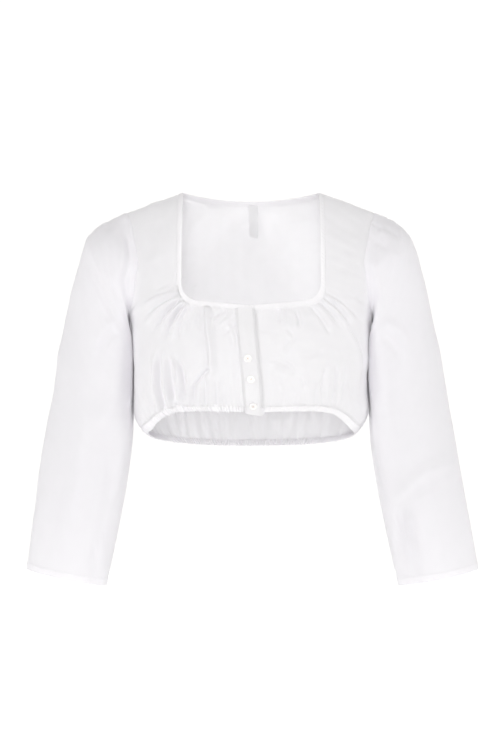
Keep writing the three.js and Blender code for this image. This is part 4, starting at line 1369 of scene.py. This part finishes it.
class BLOUSE_OT_buttons(bpy.types.Operator):
    """Make the buttons, their thread and their buttonholes"""

    bl_idname = "blouse.buttons"
    bl_label = "Buttons"

    def execute(self, context):
        made = context.scene.blouse
        thread = thread_material("sewing thread", made.thread_colour)
        # The button thread's tan is partly painted shade for each button's dish and holes
        thread_and_painted_shade = thread_material("button thread", made.button_thread_and_shade_colour)
        thick = made.thread_thickness / MM
        for number, (x, down) in enumerate(zip(BUTTONS["x"], BUTTONS["down"]), 1):
            name = f"shirt_button_{number}"
            new_piece(name, button_mesh(name, x, down), pearl_material(made), "button", f"button_{number}")
            rows = button_thread_rows(x, down)
            strands = stitches_mesh(f"button_thread_{number}", rows, STRAND, 1.5 * thick)
            new_piece(f"button_thread_{number}", strands, thread_and_painted_shade, "cotton")
            name = f"buttonhole_{number}"
            new_piece(name, buttonhole_mesh(name, x, down), thread, "cotton")
        return {"FINISHED"}


class BLOUSE_OT_label(bpy.types.Operator):
    """Make the blank label inside the back neck"""

    bl_idname = "blouse.label"
    bl_label = "Label"

    def execute(self, context):
        made = context.scene.blouse
        satin = cloth_material("satin ribbon", made.label_colour, 0.0003, 0.00003, 0.5, 0.3, 0.8)
        new_piece("blank_label", label_strip().mesh("blank_label", 60, 40), satin, "label", "neck_label")
        return {"FINISHED"}


class BLOUSE_OT_stitching(bpy.types.Operator):
    """Sew the rows of stitches on the bands, the casings and the cuffs"""

    bl_idname = "blouse.stitching"
    bl_label = "Stitching"

    def execute(self, context):
        made = context.scene.blouse
        length, thick = made.stitch_length / MM, made.thread_thickness / MM
        pitch = 1.3 * length
        thread = thread_material("sewing thread", made.thread_colour)
        over, under = placket_strips()
        rows = {
            "binding_stitches": [stitch_line(binding_strip(), BINDING_ROW, pitch)],
            "band_stitches": [
                *[stitch_line(over, w, pitch, 0.01) for w in BAND_ROWS],
                stitch_line(under, BAND_ROWS[1], pitch),
            ],
            "casing_stitches": [stitch_line(strip, FOLD_ROW, pitch) for strip in casing_strips().values()],
            "cuff_stitches": [
                stitch_line(cuff_strip(side, made), FOLD_ROW, pitch) for side in ("right", "left")
            ],
        }
        for name, lines in rows.items():
            new_piece(name, stitches_mesh(name, lines, length, thick), thread, "cotton")
        return {"FINISHED"}


class BLOUSE_OT_stage(bpy.types.Operator):
    """Set the floor, the lights, the world and the camera"""

    bl_idname = "blouse.stage"
    bl_label = "Stage"

    def execute(self, context):
        scene = context.scene
        corners = np.array([[-1, -1, 0], [1, -1, 0], [1, 1, 0], [-1, 1, 0]]) * FLOOR_HALF + [0, 0, FLOOR_UP]
        mesh = bpy.data.meshes.new("floor")
        mesh.from_pydata((corners * MM).tolist(), [], [(0, 1, 2, 3)])
        floor = bpy.data.objects.new("floor", mesh)
        scene.collection.objects.link(floor)
        paint, tree, shader = blank_material("floor paint")
        grain = linked(tree, "ShaderNodeTexNoise", Scale=3.0, Detail=2.0)
        soft = linked(tree, "ShaderNodeBump", Strength=0.05, Distance=0.01, Height=grain.outputs["Fac"])
        tree.links.new(soft.outputs["Normal"], shader.inputs["Normal"])
        shader.inputs["Base Color"].default_value = (0.95, 0.95, 0.95, 1)
        shader.inputs["Roughness"].default_value = 0.9
        shader.inputs["Emission Color"].default_value = (1, 1, 1, 1)
        seen = tree.nodes.new("ShaderNodeLightPath").outputs["Is Camera Ray"]
        glow = linked(tree, "ShaderNodeMapRange", Value=seen, To_Min=0.1, To_Max=0.8)
        tree.links.new(glow.outputs["Result"], shader.inputs["Emission Strength"])
        mesh.materials.append(paint)

        world = bpy.data.worlds.new("studio")
        scene.world = world
        world.use_nodes = True
        tree = world.node_tree
        seen = tree.nodes.new("ShaderNodeLightPath").outputs["Is Camera Ray"]
        bright = linked(tree, "ShaderNodeMapRange", Value=seen, To_Min=0.4, To_Max=1.06)
        tree.links.new(bright.outputs["Result"], tree.nodes["Background"].inputs["Strength"])
        tree.nodes["Background"].inputs["Color"].default_value = (1, 0.985, 0.98, 1)

        for name, place, aim, wide, power in LIGHTS:
            light = bpy.data.lights.new(name, "AREA")
            light.shape, light.size, light.energy = "DISK", wide, power
            lamp = bpy.data.objects.new(name, light)
            lamp.matrix_world = aimed(place, aim)
            scene.collection.objects.link(lamp)

        camera = bpy.data.cameras.new("camera")
        camera.lens, camera.sensor_width, camera.sensor_fit = 96, 36, "AUTO"
        camera.clip_end = 50
        eye = bpy.data.objects.new("camera", camera)
        eye.matrix_world = aimed(*CAMERA)
        scene.collection.objects.link(eye)
        scene.camera = eye
        scene.view_settings.view_transform = "Standard"
        return {"FINISHED"}


class BLOUSE_PT_panel(bpy.types.Panel):
    """The blouse's sizes, colours and pieces"""

    bl_idname = "BLOUSE_PT_panel"
    bl_label = "Gathered Blouse"
    bl_space_type = "VIEW_3D"
    bl_region_type = "UI"
    bl_category = "Blouse"

    def draw(self, context):
        for name in BlouseProperties.__annotations__:
            self.layout.prop(context.scene.blouse, name)
        for operator in OPERATORS:
            self.layout.operator(operator.bl_idname)


OPERATORS = (
    BLOUSE_OT_fronts,
    BLOUSE_OT_back,
    BLOUSE_OT_sleeves,
    BLOUSE_OT_casings,
    BLOUSE_OT_bands,
    BLOUSE_OT_buttons,
    BLOUSE_OT_label,
    BLOUSE_OT_stitching,
    BLOUSE_OT_stage,
)
CLASSES = (BlouseProperties, *OPERATORS, BLOUSE_PT_panel)


def aimed(place, target):
    """A matrix at a place that looks at a target, level."""
    from mathutils import Matrix, Vector

    place = Vector(place)
    turned = (Vector(target) - place).to_track_quat("-Z", "Y")
    return Matrix.Translation(place) @ turned.to_matrix().to_4x4()


def register():
    """Add the classes and the scene's blouse settings."""
    for cls in CLASSES:
        bpy.utils.register_class(cls)
    bpy.types.Scene.blouse = bpy.props.PointerProperty(type=BlouseProperties)


def unregister():
    """Take them away again."""
    del bpy.types.Scene.blouse
    for cls in reversed(CLASSES):
        bpy.utils.unregister_class(cls)


def main():
    register()
    for operator in OPERATORS:
        group, name = operator.bl_idname.split(".")
        getattr(getattr(bpy.ops, group), name)()


if __name__ == "__main__":
    main()
